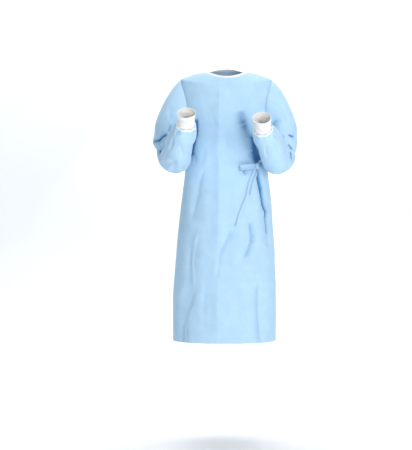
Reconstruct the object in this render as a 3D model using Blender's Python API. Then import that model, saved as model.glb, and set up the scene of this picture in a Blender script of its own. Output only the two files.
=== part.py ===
"""A medical gown in its worn shape, built from the pieces that its maker cuts and sews.

Run it with: blender --background --python part.py

Metres, +Z up. The front faces -Y and the wearer's left is +X. The origin is where the shoulders carry the
gown: on the shoulder line, at the height of the sides of the neck. A ring angle runs from the wearer's left
side, through the front at a quarter turn, to the right side at a half turn and the back at minus a quarter.
"""

import math
from collections import namedtuple
from functools import lru_cache

import bmesh
import bpy
import numpy as np
from mathutils import Matrix

# Cloth and seams
WALL = 0.0015
SEAM_GAP = 0.0003
GOWN_LENGTH = 1.130
COLUMNS_FRONT = 26
COLUMNS_BACK = 13
ROWS_SKIRT = 13
ROWS_CHEST = 5
ROWS_ARMHOLE = 12
ROWS_SHOULDER = 4
AROUND_SLEEVE = 2 * ROWS_ARMHOLE

# Body of the gown, one row for each level: heights at the side, centre front and centre back, half width,
# depth ahead of and behind the shoulder line, squareness of the outline and its shift to the wearer's left
Section = namedtuple(
    "Section", "side_z front_z back_z half_width front_depth back_depth squareness shift"
)
BODY = (
    Section(-GOWN_LENGTH, -GOWN_LENGTH, -GOWN_LENGTH, 0.2180, 0.176, 0.186, 2.25, -0.007),
    Section(-0.970, -0.970, -0.970, 0.2180, 0.170, 0.180, 2.25, -0.007),
    Section(-0.800, -0.800, -0.800, 0.2105, 0.161, 0.170, 2.30, -0.004),
    Section(-0.630, -0.630, -0.630, 0.1980, 0.151, 0.158, 2.35, -0.001),
    Section(-0.500, -0.500, -0.500, 0.1845, 0.143, 0.145, 2.40, 0.001),
    Section(-0.410, -0.410, -0.410, 0.1745, 0.138, 0.133, 2.40, 0.001),
    Section(-0.330, -0.330, -0.330, 0.1760, 0.141, 0.130, 2.40, 0.000),
    Section(-0.245, -0.247, -0.243, 0.1810, 0.140, 0.132, 2.40, 0.000),
    Section(-0.150, -0.158, -0.142, 0.1880, 0.129, 0.133, 2.30, 0.000),
    Section(-0.080, -0.106, -0.067, 0.1970, 0.112, 0.125, 2.05, 0.000),
    Section(-0.033, -0.070, -0.024, 0.1940, 0.099, 0.110, 2.00, 0.000),
    Section(-0.014, -0.052, -0.004, 0.1560, 0.094, 0.098, 1.90, 0.000),
    Section(-0.003, -0.040, 0.008, 0.1210, 0.090, 0.088, 1.95, 0.000),
    Section(0.002, -0.031, 0.018, 0.0930, 0.086, 0.080, 2.00, 0.001),
)
WAIST_ROW = 5
UNDERARM_ROW = 7
SHOULDER_ROW = 10

# Reach of the armhole from the side towards the front and the back, as ring angles
ARMHOLE_FRONT = math.radians(31)
ARMHOLE_BACK = math.radians(29)

# The back panels cross at the centre back by this ring angle each way, with this much air between them
OVERLAP = 0.55
OVERLAP_LIFT = 0.003
# The lift rises over this ring angle, and is whole this far before the other panel's edge
OVERLAP_RAMP = 0.45
OVERLAP_MARGIN = 0.0675

# A fold fades over this share of its length at each end, from this share of the fading at its tip
FOLD_FADE = 0.25
FOLD_TIP = 0.25
# Largest folds of the body, seen square on: which half, ends of the fold's line, half width, and the
# height of a ridge or the depth of a trough below zero
Fold = namedtuple("Fold", "half x0 z0 x1 z1 spread height")
BODY_FOLDS = (
    Fold("front", 0.130, -0.430, 0.160, -0.590, 0.016, -0.011),
    Fold("front", 0.160, -0.590, 0.178, -0.740, 0.018, -0.007),
    Fold("front", 0.150, -0.300, 0.130, -0.395, 0.018, -0.008),
    Fold("front", 0.036, -0.660, -0.020, -0.800, 0.026, -0.008),
    Fold("front", -0.020, -0.800, -0.026, -0.950, 0.028, -0.006),
    Fold("front", 0.104, -0.640, 0.108, -0.720, 0.022, -0.007),
    Fold("front", 0.108, -0.720, 0.072, -0.800, 0.022, -0.006),
    Fold("front", -0.029, -0.060, -0.031, -1.130, 0.022, 0.004),
    Fold("front", 0.040, -0.150, 0.110, -0.290, 0.034, -0.007),
    Fold("front", -0.120, -0.420, -0.132, -0.620, 0.026, -0.006),
    Fold("front", -0.142, -0.700, -0.150, -1.000, 0.024, -0.007),
    Fold("front", -0.168, -0.900, -0.176, -1.130, 0.020, -0.006),
    Fold("front", 0.142, -0.900, 0.150, -1.130, 0.022, -0.006),
    Fold("back", 0.060, -0.440, 0.090, -0.760, 0.026, -0.008),
    Fold("back", -0.080, -0.420, -0.100, -0.820, 0.028, -0.009),
    Fold("back", -0.020, -0.430, -0.030, -0.900, 0.026, 0.006),
    Fold("back", -0.150, -0.480, -0.170, -1.130, 0.028, -0.008),
    Fold("back", 0.160, -0.560, 0.180, -1.130, 0.028, -0.008),
    Fold("back", 0.040, -0.800, 0.030, -1.130, 0.030, -0.007),
    Fold("back", -0.090, -0.860, -0.080, -1.130, 0.028, -0.006),
    Fold("back", -0.060, -0.120, -0.110, -0.300, 0.028, -0.006),
    Fold("back", 0.070, -0.110, 0.110, -0.300, 0.028, -0.006),
)

# Arms: side, then the middle of the sleeve below the armhole, at the elbow, at the cuff seam and at the
# cuff's open end, all given for the wearer's left and mirrored for the right
Arm = namedtuple("Arm", "name side start elbow seam hand")
ARMS = (
    Arm("left", 1, (0.241, -0.036, -0.240), (0.220, -0.108, -0.404), (0.1418, -0.303, -0.2600),
        (0.1350, -0.3450, -0.2205)),
    Arm("right", -1, (0.244, -0.036, -0.240), (0.219, -0.108, -0.406), (0.1645, -0.303, -0.2440),
        (0.1625, -0.3430, -0.2010)),
)
ELBOW_RADIUS = 0.075
WRIST_RADIUS = 0.120

# Sleeve sections by share of the way from below the armhole to the cuff seam: reach outwards, inwards,
# to the crook side and to the elbow side of the arm's middle line
Ring = namedtuple("Ring", "share outward inward crook elbow")
SLEEVE = (
    Ring(0.00, 0.057, 0.050, 0.066, 0.070),
    Ring(0.22, 0.061, 0.053, 0.064, 0.070),
    Ring(0.37, 0.066, 0.062, 0.055, 0.069),
    Ring(0.46, 0.064, 0.068, 0.041, 0.069),
    Ring(0.56, 0.060, 0.070, 0.054, 0.068),
    Ring(0.68, 0.061, 0.067, 0.060, 0.064),
    Ring(0.82, 0.056, 0.058, 0.054, 0.056),
    Ring(0.94, 0.047, 0.048, 0.045, 0.047),
    Ring(1.00, 0.0355, 0.0355, 0.0330, 0.0335),
)
# Cuff sections by share of its length, with the same reaches
CUFF = (
    Ring(0.00, 0.0355, 0.0355, 0.0330, 0.0335),
    Ring(0.20, 0.0340, 0.0340, 0.0315, 0.0320),
    Ring(0.55, 0.0350, 0.0350, 0.0315, 0.0320),
    Ring(1.00, 0.0380, 0.0380, 0.0335, 0.0335),
)
CAP_RINGS = 5
SLEEVE_RINGS = 16
CUFF_RINGS = 4
GATHERS = 8
GATHER_DEPTH = 0.0016
GATHER_REACH = 0.05

# How the sleeve leaves the armhole at its top, front, underarm and back, and how strongly it follows the
# arm where it enters it, at its top and at the underarm
CAP_TOP = (0.135, -0.012, -0.068)
CAP_FRONT = (0.050, -0.045, -0.020)
CAP_UNDER = (0.030, -0.010, -0.030)
CAP_BACK = (0.070, 0.010, -0.030)
CAP_END_TOP = 0.110
CAP_END_UNDER = 0.022

# Folds of a sleeve: ends of the line as a turn round the arm from its outside over the crook, and a share
# of the way from the armhole to the cuff seam, then half width and height
SleeveFold = namedtuple("SleeveFold", "turn0 share0 turn1 share1 spread height")
SLEEVE_FOLDS = {
    "left": (
        SleeveFold(-30, 0.34, 30, 0.36, 0.030, 0.004),
        SleeveFold(20, 0.50, 120, 0.53, 0.012, -0.008),
        SleeveFold(-20, 0.46, 60, 0.44, 0.012, -0.006),
        SleeveFold(-60, 0.56, 10, 0.62, 0.012, -0.006),
        SleeveFold(-110, 0.62, -40, 0.74, 0.014, -0.005),
    ),
    "right": (
        SleeveFold(-40, 0.33, 30, 0.36, 0.030, 0.012),
        SleeveFold(10, 0.50, 120, 0.53, 0.014, -0.010),
        SleeveFold(-10, 0.58, -40, 0.70, 0.012, -0.006),
        SleeveFold(-70, 0.56, -40, 0.72, 0.014, -0.006),
        SleeveFold(-20, 0.40, 50, 0.42, 0.014, -0.005),
    ),
}

# Neck binding
BINDING_HEIGHT = 0.010
BINDING_THICKNESS = 0.003

# Waist tie: its knot, then each stretch by its stops: place on the front as seen square on, how far its
# underside stands off the cloth, and its width. The wrapped stretch has ring angles in degrees instead.
TIE_WALL = 0.0012
KNOT_X, KNOT_Z, KNOT_LIFT = 0.122, -0.400, 0.0098
KNOT_SIZE = (0.020, 0.017, 0.024)
Stop = namedtuple("Stop", "place z lift width")
WRAP = (
    Stop(-67.0, -0.385, 0.0038, 0.030),
    Stop(-58.4, -0.385, 0.0038, 0.030),
    Stop(-45.0, -0.382, 0.0020, 0.028),
    Stop(0.0, -0.364, 0.0020, 0.022),
    Stop(26.0, -0.369, 0.0020, 0.016),
    Stop(38.0, -0.3825, 0.0040, 0.012),
    Stop(44.6, -0.3980, 0.0095, 0.009),
)
WRAP_STEPS = 20
TAILS = {
    "tie_tail_long": (
        Stop(0.1188, -0.4070, 0.0018, 0.007),
        Stop(0.1110, -0.4250, 0.0020, 0.008),
        Stop(0.0910, -0.4740, 0.0030, 0.008),
        Stop(0.0765, -0.5380, 0.0030, 0.008),
        Stop(0.0610, -0.5720, 0.0025, 0.009),
        Stop(0.0480, -0.6100, 0.0025, 0.008),
        Stop(0.0390, -0.6480, 0.0025, 0.014),
    ),
    "tie_tail_short": (
        Stop(0.1270, -0.4075, 0.0016, 0.007),
        Stop(0.1250, -0.4250, 0.0030, 0.008),
        Stop(0.1070, -0.4740, 0.0030, 0.008),
        Stop(0.0970, -0.5200, 0.0025, 0.010),
    ),
}
TAIL_STEPS = 14
# Bow loops: where each leaves the knot, its far end, the lift of its middle, how open and how wide it is
Loop = namedtuple("Loop", "x0 z0 x1 z1 lift opening width")
LOOPS = {
    "tie_loop_upper": Loop(0.1136, -0.3970, 0.0520, -0.4100, 0.0150, 0.0070, 0.023),
    "tie_loop_lower": Loop(0.1138, -0.4045, 0.0740, -0.4310, 0.0066, 0.0040, 0.019),
}
LOOP_STEPS = 18
# How far a loop's two ends part at the knot, its width there, and how fast it widens from it
LOOP_PARTING = 0.0011
LOOP_ROOT = 0.00923
LOOP_SWELL = 0.7

SHARP_ANGLE = math.radians(40)

CLOTH = ("gown_cloth", (0.47, 0.68, 0.86), 0.75)
KNIT = ("cuff_knit", (0.86, 0.86, 0.87), 0.90)
BINDING = ("binding_cloth", (0.90, 0.90, 0.86), 0.80)
TIES = ("tie_cloth", (0.55, 0.74, 0.90), 0.72)

TINY = 1e-4


def eased(share):
    """0 to 1 with a soft start and end."""
    share = min(1.0, max(0.0, share))
    return share * share * (3 - 2 * share)


def unit(vector):
    return vector / max(np.linalg.norm(vector), 1e-12)


def slopes(places, rows):
    """Slopes of a smooth curve through the rows that never overshoots them."""
    steps = np.diff(places)[:, None]
    rises = np.diff(rows, axis=0) / steps
    found = np.zeros_like(rows)
    found[0], found[-1] = rises[0], rises[-1]
    before, after = rises[:-1], rises[1:]
    same_way = before * after > 0
    total = np.where(same_way, before + after, 1.0)
    found[1:-1] = np.where(same_way, 2 * before * after / total, 0.0)
    return found


class SmoothTable:
    """Reads the columns of a table between its rows."""

    def __init__(self, places, rows):
        self.places = np.array(places, float)
        self.rows = np.array(rows, float)
        self.slopes = slopes(self.places, self.rows)

    def at(self, place):
        place = min(max(place, self.places[0]), self.places[-1])
        i = min(int(np.searchsorted(self.places, place, side="right")) - 1, len(self.places) - 2)
        step = self.places[i + 1] - self.places[i]
        t = (place - self.places[i]) / step
        return (
            self.rows[i] * (1 + 2 * t) * (1 - t) ** 2
            + self.slopes[i] * step * t * (1 - t) ** 2
            + self.rows[i + 1] * t * t * (3 - 2 * t)
            + self.slopes[i + 1] * step * t * t * (t - 1)
        )


def body_levels():
    """Distance of each body section from the hem, measured up the side."""
    steps = [
        math.hypot(b.side_z - a.side_z, b.half_width - a.half_width)
        for a, b in zip(BODY, BODY[1:])
    ]
    return np.concatenate([[0.0], np.cumsum(steps)])


LEVELS = body_levels()
BODY_TABLE = SmoothTable(LEVELS, BODY)
WAIST = LEVELS[WAIST_ROW]
UNDERARM = LEVELS[UNDERARM_ROW]
SHOULDER = LEVELS[SHOULDER_ROW]
NECK = LEVELS[-1]


@lru_cache(maxsize=None)
def section_at(level):
    return Section(*(float(value) for value in BODY_TABLE.at(level)))


def fold_share(x, z, x0, z0, x1, z1, spread):
    """How much of a fold's height a place has: 1 on the fold's line, fading to its sides and ends."""
    along_x, along_z = x1 - x0, z1 - z0
    share = ((x - x0) * along_x + (z - z0) * along_z) / (along_x**2 + along_z**2)
    clipped = min(1.0, max(0.0, share))
    away = math.hypot(x - x0 - clipped * along_x, z - z0 - clipped * along_z)
    fade = eased(clipped / FOLD_FADE + FOLD_TIP) * eased((1 - clipped) / FOLD_FADE + FOLD_TIP)
    return fade * math.exp(-((away / spread) ** 2))


def fold_height(half, x, z):
    return sum(
        fold.height * fold_share(x, z, fold.x0, fold.z0, fold.x1, fold.z1, fold.spread)
        for fold in BODY_FOLDS
        if fold.half == half
    )


def powered(value, squareness):
    return math.copysign(abs(value) ** (2 / squareness), value)


def body_point(angle, level, lift=0.0):
    """A point on the outside of the gown's body, moved out by lift."""
    s = section_at(level)
    front = math.sin(angle) >= 0
    depth = s.front_depth if front else s.back_depth
    middle_z = s.front_z if front else s.back_z
    across = powered(math.cos(angle), s.squareness)
    fore = powered(math.sin(angle), s.squareness)
    x = s.half_width * across
    z = s.side_z + (middle_z - s.side_z) * math.sin(angle) ** 2
    out = unit(np.array([across / s.half_width, -fore / depth, 0.0]))
    lift += fold_height("front" if front else "back", x, z)
    return np.array([x + s.shift, -depth * fore, z]) + out * lift


def body_normal(angle, level, lift=0.0):
    low, high = max(level - TINY, 0.0), min(level + TINY, NECK)
    up = body_point(angle, high, lift) - body_point(angle, low, lift)
    round_it = body_point(angle + TINY, level, lift) - body_point(angle - TINY, level, lift)
    return unit(np.cross(up, round_it))


def level_of(z):
    """The level whose side lies at this height, below the shoulders."""
    return float(np.interp(z, [s.side_z for s in BODY], LEVELS))


def front_angle(x, z):
    """The ring angle of this place on the front, seen square on."""
    s = section_at(level_of(z))
    share = min(0.999, max(-0.999, (x - s.shift) / s.half_width))
    return math.acos(math.copysign(abs(share) ** (s.squareness / 2), share))


def on_body(angle, z, lift):
    """The point at this ring angle and height, moved out from the cloth by lift."""
    level = level_of(z)
    return body_point(angle, level) + body_normal(angle, level) * lift


def armhole_turn(level):
    """Sine of the turn round the armhole at this level, and 0 outside it."""
    share = (level - UNDERARM) / (SHOULDER - UNDERARM)
    if not 0 < share < 1:
        return 0.0
    return math.sin(math.acos(2 * share - 1))


def panel_levels():
    skirt = np.linspace(0, WAIST, ROWS_SKIRT, endpoint=False)
    chest = np.linspace(WAIST, UNDERARM, ROWS_CHEST + 1)
    turns = np.linspace(math.pi, 0, ROWS_ARMHOLE + 1)[1:]
    armhole = UNDERARM + (SHOULDER - UNDERARM) * (1 + np.cos(turns)) / 2
    shoulder = np.linspace(SHOULDER, NECK, ROWS_SHOULDER + 1)[1:]
    return np.concatenate([skirt, chest, armhole, shoulder])


def trimmed(grid, start=True, end=True, bottom=False, top=False):
    """The grid with its outer rows and columns drawn in by half a seam gap."""
    grid = grid.copy()
    half = SEAM_GAP / 2
    for wanted, edge, inside in [(start, 0, 1), (end, -1, -2)]:
        if wanted:
            step = grid[:, inside] - grid[:, edge]
            grid[:, edge] += half * step / np.linalg.norm(step, axis=1, keepdims=True)
    for wanted, edge, inside in [(bottom, 0, 1), (top, -1, -2)]:
        if wanted:
            step = grid[inside] - grid[edge]
            grid[edge] += half * step / np.linalg.norm(step, axis=1, keepdims=True)
    return grid


def material_of(finish):
    name, colour, roughness = finish
    made = bpy.data.materials.get(name)
    if made is None:
        made = bpy.data.materials.new(name)
        made.use_nodes = True
        shader = made.node_tree.nodes["Principled BSDF"]
        shader.inputs["Base Color"].default_value = (*colour, 1.0)
        shader.inputs["Roughness"].default_value = roughness
        shader.inputs["Metallic"].default_value = 0.0
    return made


def add_object(name, shape, finish, collection):
    bmesh.ops.recalc_face_normals(shape, faces=shape.faces)
    mesh = bpy.data.meshes.new(name)
    shape.to_mesh(mesh)
    shape.free()
    mesh.shade_smooth()
    mesh.set_sharp_from_angle(angle=SHARP_ANGLE)
    mesh.materials.append(material_of(finish))
    made = bpy.data.objects.new(name, mesh)
    collection.objects.link(made)
    return made


def add_wall(name, outer, inner, finish, collection, round_it=False):
    """A closed wall between an outer and an inner grid, lofted row by row; round_it joins the columns.

    Each quad is split along its shorter diagonal, the same way in both skins.
    """
    rows, columns = outer.shape[:2]
    shape = bmesh.new()
    skins = [[[shape.verts.new(p) for p in row] for row in skin] for skin in (outer, inner)]
    spans = columns if round_it else columns - 1
    first, second = skins
    for i in range(rows - 1):
        for j in range(spans):
            k = (j + 1) % columns
            rising = np.linalg.norm(outer[i, j] - outer[i + 1, k])
            falling = np.linalg.norm(outer[i, k] - outer[i + 1, j])
            for skin in skins:
                a, b, c, d = skin[i][j], skin[i][k], skin[i + 1][k], skin[i + 1][j]
                if rising < falling:
                    shape.faces.new((a, b, c))
                    shape.faces.new((a, c, d))
                else:
                    shape.faces.new((a, b, d))
                    shape.faces.new((b, c, d))
    for i in (0, rows - 1):
        for j in range(spans):
            k = (j + 1) % columns
            shape.faces.new((first[i][j], first[i][k], second[i][k], second[i][j]))
    if not round_it:
        for j in (0, columns - 1):
            for i in range(rows - 1):
                shape.faces.new((first[i][j], first[i + 1][j], second[i + 1][j], second[i][j]))
    return add_object(name, shape, finish, collection)


def body_grid(columns, start_of, end_of, lift_of):
    """Outer points and normals of a body panel; start_of and end_of give its edges at each level."""
    points, normals = [], []
    for level in panel_levels():
        angles = np.linspace(start_of(level), end_of(level), columns + 1)
        points.append([body_point(a, level, lift_of(a)) for a in angles])
        normals.append([body_normal(a, level, lift_of(a)) for a in angles])
    return np.array(points), np.array(normals)


def front_panel(collection):
    points, normals = body_grid(
        COLUMNS_FRONT,
        lambda level: ARMHOLE_FRONT * armhole_turn(level),
        lambda level: math.pi - ARMHOLE_FRONT * armhole_turn(level),
        lambda angle: 0.0,
    )
    outer = trimmed(points, top=True)
    add_wall("front", outer, outer - WALL * normals, CLOTH, collection)
    return points[-1], normals[-1]


def over_lift(angle):
    """Lift of the right back panel, which lies over the left one."""
    return OVERLAP_LIFT * eased((angle + math.pi / 2 + OVERLAP + OVERLAP_MARGIN) / OVERLAP_RAMP + 1)


def under_lift(angle):
    """Drop of the left back panel, which lies under the right one."""
    return -OVERLAP_LIFT * eased((OVERLAP + OVERLAP_MARGIN - math.pi / 2 - angle) / OVERLAP_RAMP + 1)


def back_panels(collection):
    """Both back panels, and the points and normals of their neck edges."""
    necks = {}
    for name, start_of, end, lift_of in (
        (
            "back_left",
            lambda level: -ARMHOLE_BACK * armhole_turn(level),
            -math.pi / 2 - OVERLAP,
            under_lift,
        ),
        (
            "back_right",
            lambda level: ARMHOLE_BACK * armhole_turn(level) - math.pi,
            -math.pi / 2 + OVERLAP,
            over_lift,
        ),
    ):
        points, normals = body_grid(COLUMNS_BACK, start_of, lambda level: end, lift_of)
        outer = trimmed(points, end=False, top=True)
        add_wall(name, outer, outer - WALL * normals, CLOTH, collection)
        necks[name] = points[-1], normals[-1]
    return necks


def neck_binding(collection, front, backs):
    """One strip from the under panel's edge, round the front, to the over panel's edge."""
    left, right = backs["back_left"], backs["back_right"]
    edge = np.concatenate([left[0][::-1], front[0][1:-1], right[0]])
    normals = np.concatenate([left[1][::-1], front[1][1:-1], right[1]])
    along = np.gradient(edge, axis=0)
    up = np.cross(along, normals)
    up *= np.sign(up[:, 2:3]) / np.linalg.norm(up, axis=1, keepdims=True)
    middle = edge - normals * WALL / 2
    heights = (SEAM_GAP / 2, BINDING_HEIGHT / 2, BINDING_HEIGHT)
    outer = np.array([middle + up * h + normals * BINDING_THICKNESS / 2 for h in heights])
    inner = np.array([middle + up * h - normals * BINDING_THICKNESS / 2 for h in heights])
    add_wall("neck_binding", outer, inner, BINDING, collection)


def armhole_point(side, turn):
    """A point of the armhole and the body's normal there; the turn runs from the shoulder over the front."""
    reach = ARMHOLE_FRONT if math.sin(turn) > 0 else ARMHOLE_BACK
    angle = reach * math.sin(turn)
    if side < 0:
        angle = math.pi - angle
    level = UNDERARM + (SHOULDER - UNDERARM) * (1 + math.cos(turn)) / 2
    return body_point(angle, level), body_normal(angle, level)


def through_four(top, front, under, back, turn):
    """A closed curve through four vectors, a quarter turn apart."""
    top, front, under, back = (np.array(v, float) for v in (top, front, under, back))
    return (
        (top + front + under + back) / 4
        + math.cos(turn) * (top - under) / 2
        + math.sin(turn) * (front - back) / 2
        + math.cos(2 * turn) * (top + under - front - back) / 4
    )


class ArmPath:
    """The middle line of a sleeve and its cuff, with rounded corners, and axes that follow it untwisted."""

    STEP = 0.002
    ARC_STEP = math.radians(4)

    def __init__(self, arm):
        start, elbow, seam, hand = (np.array(p, float) for p in arm[2:])
        line = [start]
        for before, corner, after, radius in (
            (start, elbow, seam, ELBOW_RADIUS),
            (elbow, seam, hand, WRIST_RADIUS),
        ):
            line += self.rounded(before, corner, after, radius)
        line.append(hand)
        self.points, self.distances = self.spaced(np.array(line))
        self.tangents = np.gradient(self.points, axis=0)
        self.tangents /= np.linalg.norm(self.tangents, axis=1, keepdims=True)
        self.outward = self.untwisted()
        self.length = self.distances[-1]
        self.seam = self.distances[int(np.argmin(np.linalg.norm(self.points - seam, axis=1)))]

    def rounded(self, before, corner, after, radius):
        """Points of the arc that rounds a corner."""
        into, out = unit(corner - before), unit(after - corner)
        turn = math.acos(float(into @ out))
        reach = radius * math.tan(turn / 2)
        start = corner - into * reach
        centre = start + radius * unit(out - (out @ into) * into)
        spoke = start - centre
        steps = max(4, int(turn / self.ARC_STEP))
        return [
            centre + spoke * math.cos(a) + radius * into * math.sin(a)
            for a in np.linspace(0, turn, steps + 1)
        ]

    def spaced(self, line):
        lengths = np.concatenate([[0], np.cumsum(np.linalg.norm(np.diff(line, axis=0), axis=1))])
        at = np.linspace(0, lengths[-1], int(lengths[-1] / self.STEP) + 1)
        points = np.stack([np.interp(at, lengths, line[:, k]) for k in range(3)], axis=1)
        return points, at

    def untwisted(self):
        found = [unit(np.array([1.0, 0, 0]) - self.tangents[0, 0] * self.tangents[0])]
        for tangent in self.tangents[1:]:
            found.append(unit(found[-1] - (found[-1] @ tangent) * tangent))
        return np.array(found)

    def at(self, distance):
        i = int(round(min(distance, self.length) / self.length * (len(self.points) - 1)))
        return self.points[i], self.tangents[i], self.outward[i]


def arm_ring(path, distance, ring):
    """Points round the arm at this distance; the turn runs from the outside over the crook."""
    centre, tangent, outward = path.at(distance)
    crook = np.cross(tangent, outward)
    points = []
    for turn in np.linspace(0, 2 * math.pi, AROUND_SLEEVE, endpoint=False):
        out = ring.outward if math.cos(turn) > 0 else ring.inward
        fore = ring.crook if math.sin(turn) > 0 else ring.elbow
        points.append(centre + outward * out * math.cos(turn) + crook * fore * math.sin(turn))
    return np.array(points)


def cap_rings(arm, path, first):
    """Rings from the armhole to the first ring of the arm."""
    turns = np.linspace(0, 2 * math.pi, AROUND_SLEEVE, endpoint=False)
    mirror = np.array([arm.side, 1, 1])
    rings = [[] for _ in range(CAP_RINGS)]
    for turn, goal in zip(turns, first):
        start = armhole_point(arm.side, turn)[0] * mirror
        leave = through_four(CAP_TOP, CAP_FRONT, CAP_UNDER, CAP_BACK, turn)
        upper = (1 + math.cos(turn)) / 2
        enter = path.tangents[0] * (CAP_END_UNDER + (CAP_END_TOP - CAP_END_UNDER) * upper)
        for k, ring in enumerate(rings):
            t = k / CAP_RINGS
            ring.append(
                start * (1 + 2 * t) * (1 - t) ** 2
                + leave * t * (1 - t) ** 2
                + goal * t * t * (3 - 2 * t)
                + enter * t * t * (t - 1)
            )
    return [np.array(ring) for ring in rings]


def grid_normals(grid):
    """Outward normals of a grid whose columns run round."""
    round_it = np.roll(grid, -1, axis=1) - np.roll(grid, 1, axis=1)
    along = np.gradient(grid, axis=0)
    normals = np.cross(round_it, along)
    normals /= np.linalg.norm(normals, axis=2, keepdims=True)
    outward = grid - grid.mean(axis=1, keepdims=True)
    return normals * np.sign((normals * outward).sum(axis=(1, 2)))[:, None, None]


def sleeve_fold_height(name, turn, share, girth, length):
    """Height of a sleeve's folds at a turn in degrees and a share of the sleeve's length."""
    around = girth / 360
    return sum(
        fold.height
        * fold_share(
            (turn + whole) * around,
            share * length,
            fold.turn0 * around,
            fold.share0 * length,
            fold.turn1 * around,
            fold.share1 * length,
            fold.spread,
        )
        for fold in SLEEVE_FOLDS[name]
        for whole in (-360, 0, 360)
    )


def folded(grid, name, path):
    """The sleeve grid with its folds and the gathers above its cuff."""
    normals = grid_normals(grid)
    steps = np.linalg.norm(np.diff(grid.mean(axis=1), axis=0), axis=1)
    places = np.concatenate([[0], np.cumsum(steps)])
    length = places[-1]
    result = grid.copy()
    for i, place in enumerate(places):
        ring = grid[i]
        girth = np.linalg.norm(np.diff(ring, axis=0, append=ring[:1]), axis=1).sum()
        near_cuff = eased(1 - (length - place) / GATHER_REACH)
        for j in range(AROUND_SLEEVE):
            turn = 360 * j / AROUND_SLEEVE
            height = sleeve_fold_height(name, turn, place / length, girth, length)
            height += GATHER_DEPTH * near_cuff * math.cos(math.radians(GATHERS * turn))
            if i:
                result[i, j] += normals[i, j] * height
    return result


def sleeve(arm, collection):
    """Both the sleeve and its knit cuff."""
    path = ArmPath(arm)
    mirror = np.array([arm.side, 1, 1])
    table = SmoothTable([r.share for r in SLEEVE], SLEEVE)
    shares = np.linspace(0, 1, SLEEVE_RINGS)
    rings = [arm_ring(path, share * path.seam, Ring(*table.at(share))) for share in shares]
    grid = np.array(cap_rings(arm, path, rings[0]) + rings)
    grid = folded(grid, arm.name, path)
    normals = grid_normals(grid)
    for j in range(AROUND_SLEEVE):
        body = armhole_point(arm.side, 2 * math.pi * j / AROUND_SLEEVE)[1] * mirror
        if body @ normals[0, j] > 0:
            normals[0, j] = body
    outer = trimmed(grid, start=False, end=False, bottom=True, top=True)
    inner = outer - WALL * normals
    add_wall(f"sleeve_{arm.name}", outer * mirror, inner * mirror, CLOTH, collection, round_it=True)

    table = SmoothTable([r.share for r in CUFF], CUFF)
    spans = [(share, path.seam + share * (path.length - path.seam)) for share in
             np.linspace(0, 1, CUFF_RINGS + 1)]
    grid = np.array([arm_ring(path, distance, Ring(*table.at(share))) for share, distance in spans])
    outer = trimmed(grid, start=False, end=False, bottom=True)
    inner = outer - WALL * grid_normals(grid)
    add_wall(f"cuff_{arm.name}", outer * mirror, inner * mirror, KNIT, collection, round_it=True)


def strip_rows(stops, steps):
    """Under and upper points of a flat strip that follows the cloth; a stop's place is its ring angle."""
    table = SmoothTable(range(len(stops)), stops)
    line = [Stop(*table.at(place)) for place in np.linspace(0, len(stops) - 1, steps + 1)]
    under, upper = [], []
    for i, stop in enumerate(line):
        before, after = line[max(i - 1, 0)], line[min(i + 1, steps)]
        scale = np.linalg.norm(
            on_body(stop.place + TINY, stop.z, 0) - on_body(stop.place - TINY, stop.z, 0)
        ) / (2 * TINY)
        along = unit(np.array([scale * (after.place - before.place), after.z - before.z]))
        for skin, lift in ((under, stop.lift), (upper, stop.lift + TIE_WALL)):
            skin.append([
                on_body(
                    stop.place - along[1] * side * stop.width / 2 / scale,
                    stop.z + along[0] * side * stop.width / 2,
                    lift,
                )
                for side in (-1, 0, 1)
            ])
    return np.array(under), np.array(upper)


def tie_strip(name, stops, steps, collection):
    under, upper = strip_rows(stops, steps)
    add_wall(name, upper, under, TIES, collection)


def tie_loop(name, loop, collection):
    """A bow loop that leaves the knot, turns at its far end and comes back above itself."""
    length = math.hypot(loop.x1 - loop.x0, loop.z1 - loop.z0)
    dx, dz = (loop.x1 - loop.x0) / length, (loop.z1 - loop.z0) / length
    shares = np.linspace(0, 1, LOOP_STEPS + 1)
    reach = length * np.sin(math.pi * shares)
    lift = (
        loop.lift
        - loop.opening / 2 * np.sin(2 * math.pi * shares)
        - LOOP_PARTING * np.cos(math.pi * shares)
    )
    swell = np.maximum(np.sin(math.pi * shares), 0) ** LOOP_SWELL
    width = LOOP_ROOT + (loop.width - LOOP_ROOT) * swell
    slope = np.stack([np.gradient(reach), np.gradient(lift)], axis=1)
    slope /= np.linalg.norm(slope, axis=1, keepdims=True)
    skins = []
    for side_of_wall in (0.5, -0.5):
        u = reach + slope[:, 1] * TIE_WALL * side_of_wall
        v = lift - slope[:, 0] * TIE_WALL * side_of_wall
        rows = []
        for i in range(LOOP_STEPS + 1):
            row = []
            for side in (-1, 0, 1):
                x = loop.x0 + u[i] * dx - side * width[i] / 2 * dz
                z = loop.z0 + u[i] * dz + side * width[i] / 2 * dx
                row.append(on_body(front_angle(x, z), z, v[i]))
            rows.append(row)
        skins.append(np.array(rows))
    add_wall(name, skins[0], skins[1], TIES, collection)


def tie_knot(collection):
    centre = on_body(front_angle(KNOT_X, KNOT_Z), KNOT_Z, KNOT_LIFT)
    outward = body_normal(front_angle(KNOT_X, KNOT_Z), level_of(KNOT_Z))
    shape = bmesh.new()
    bmesh.ops.create_uvsphere(shape, u_segments=12, v_segments=8, radius=0.5)
    bmesh.ops.scale(shape, vec=KNOT_SIZE, verts=shape.verts)
    turn = Matrix.Rotation(math.atan2(outward[0], -outward[1]), 3, "Z")
    bmesh.ops.rotate(shape, cent=(0, 0, 0), matrix=turn, verts=shape.verts)
    bmesh.ops.translate(shape, vec=centre, verts=shape.verts)
    add_object("tie_knot", shape, TIES, collection)


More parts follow.
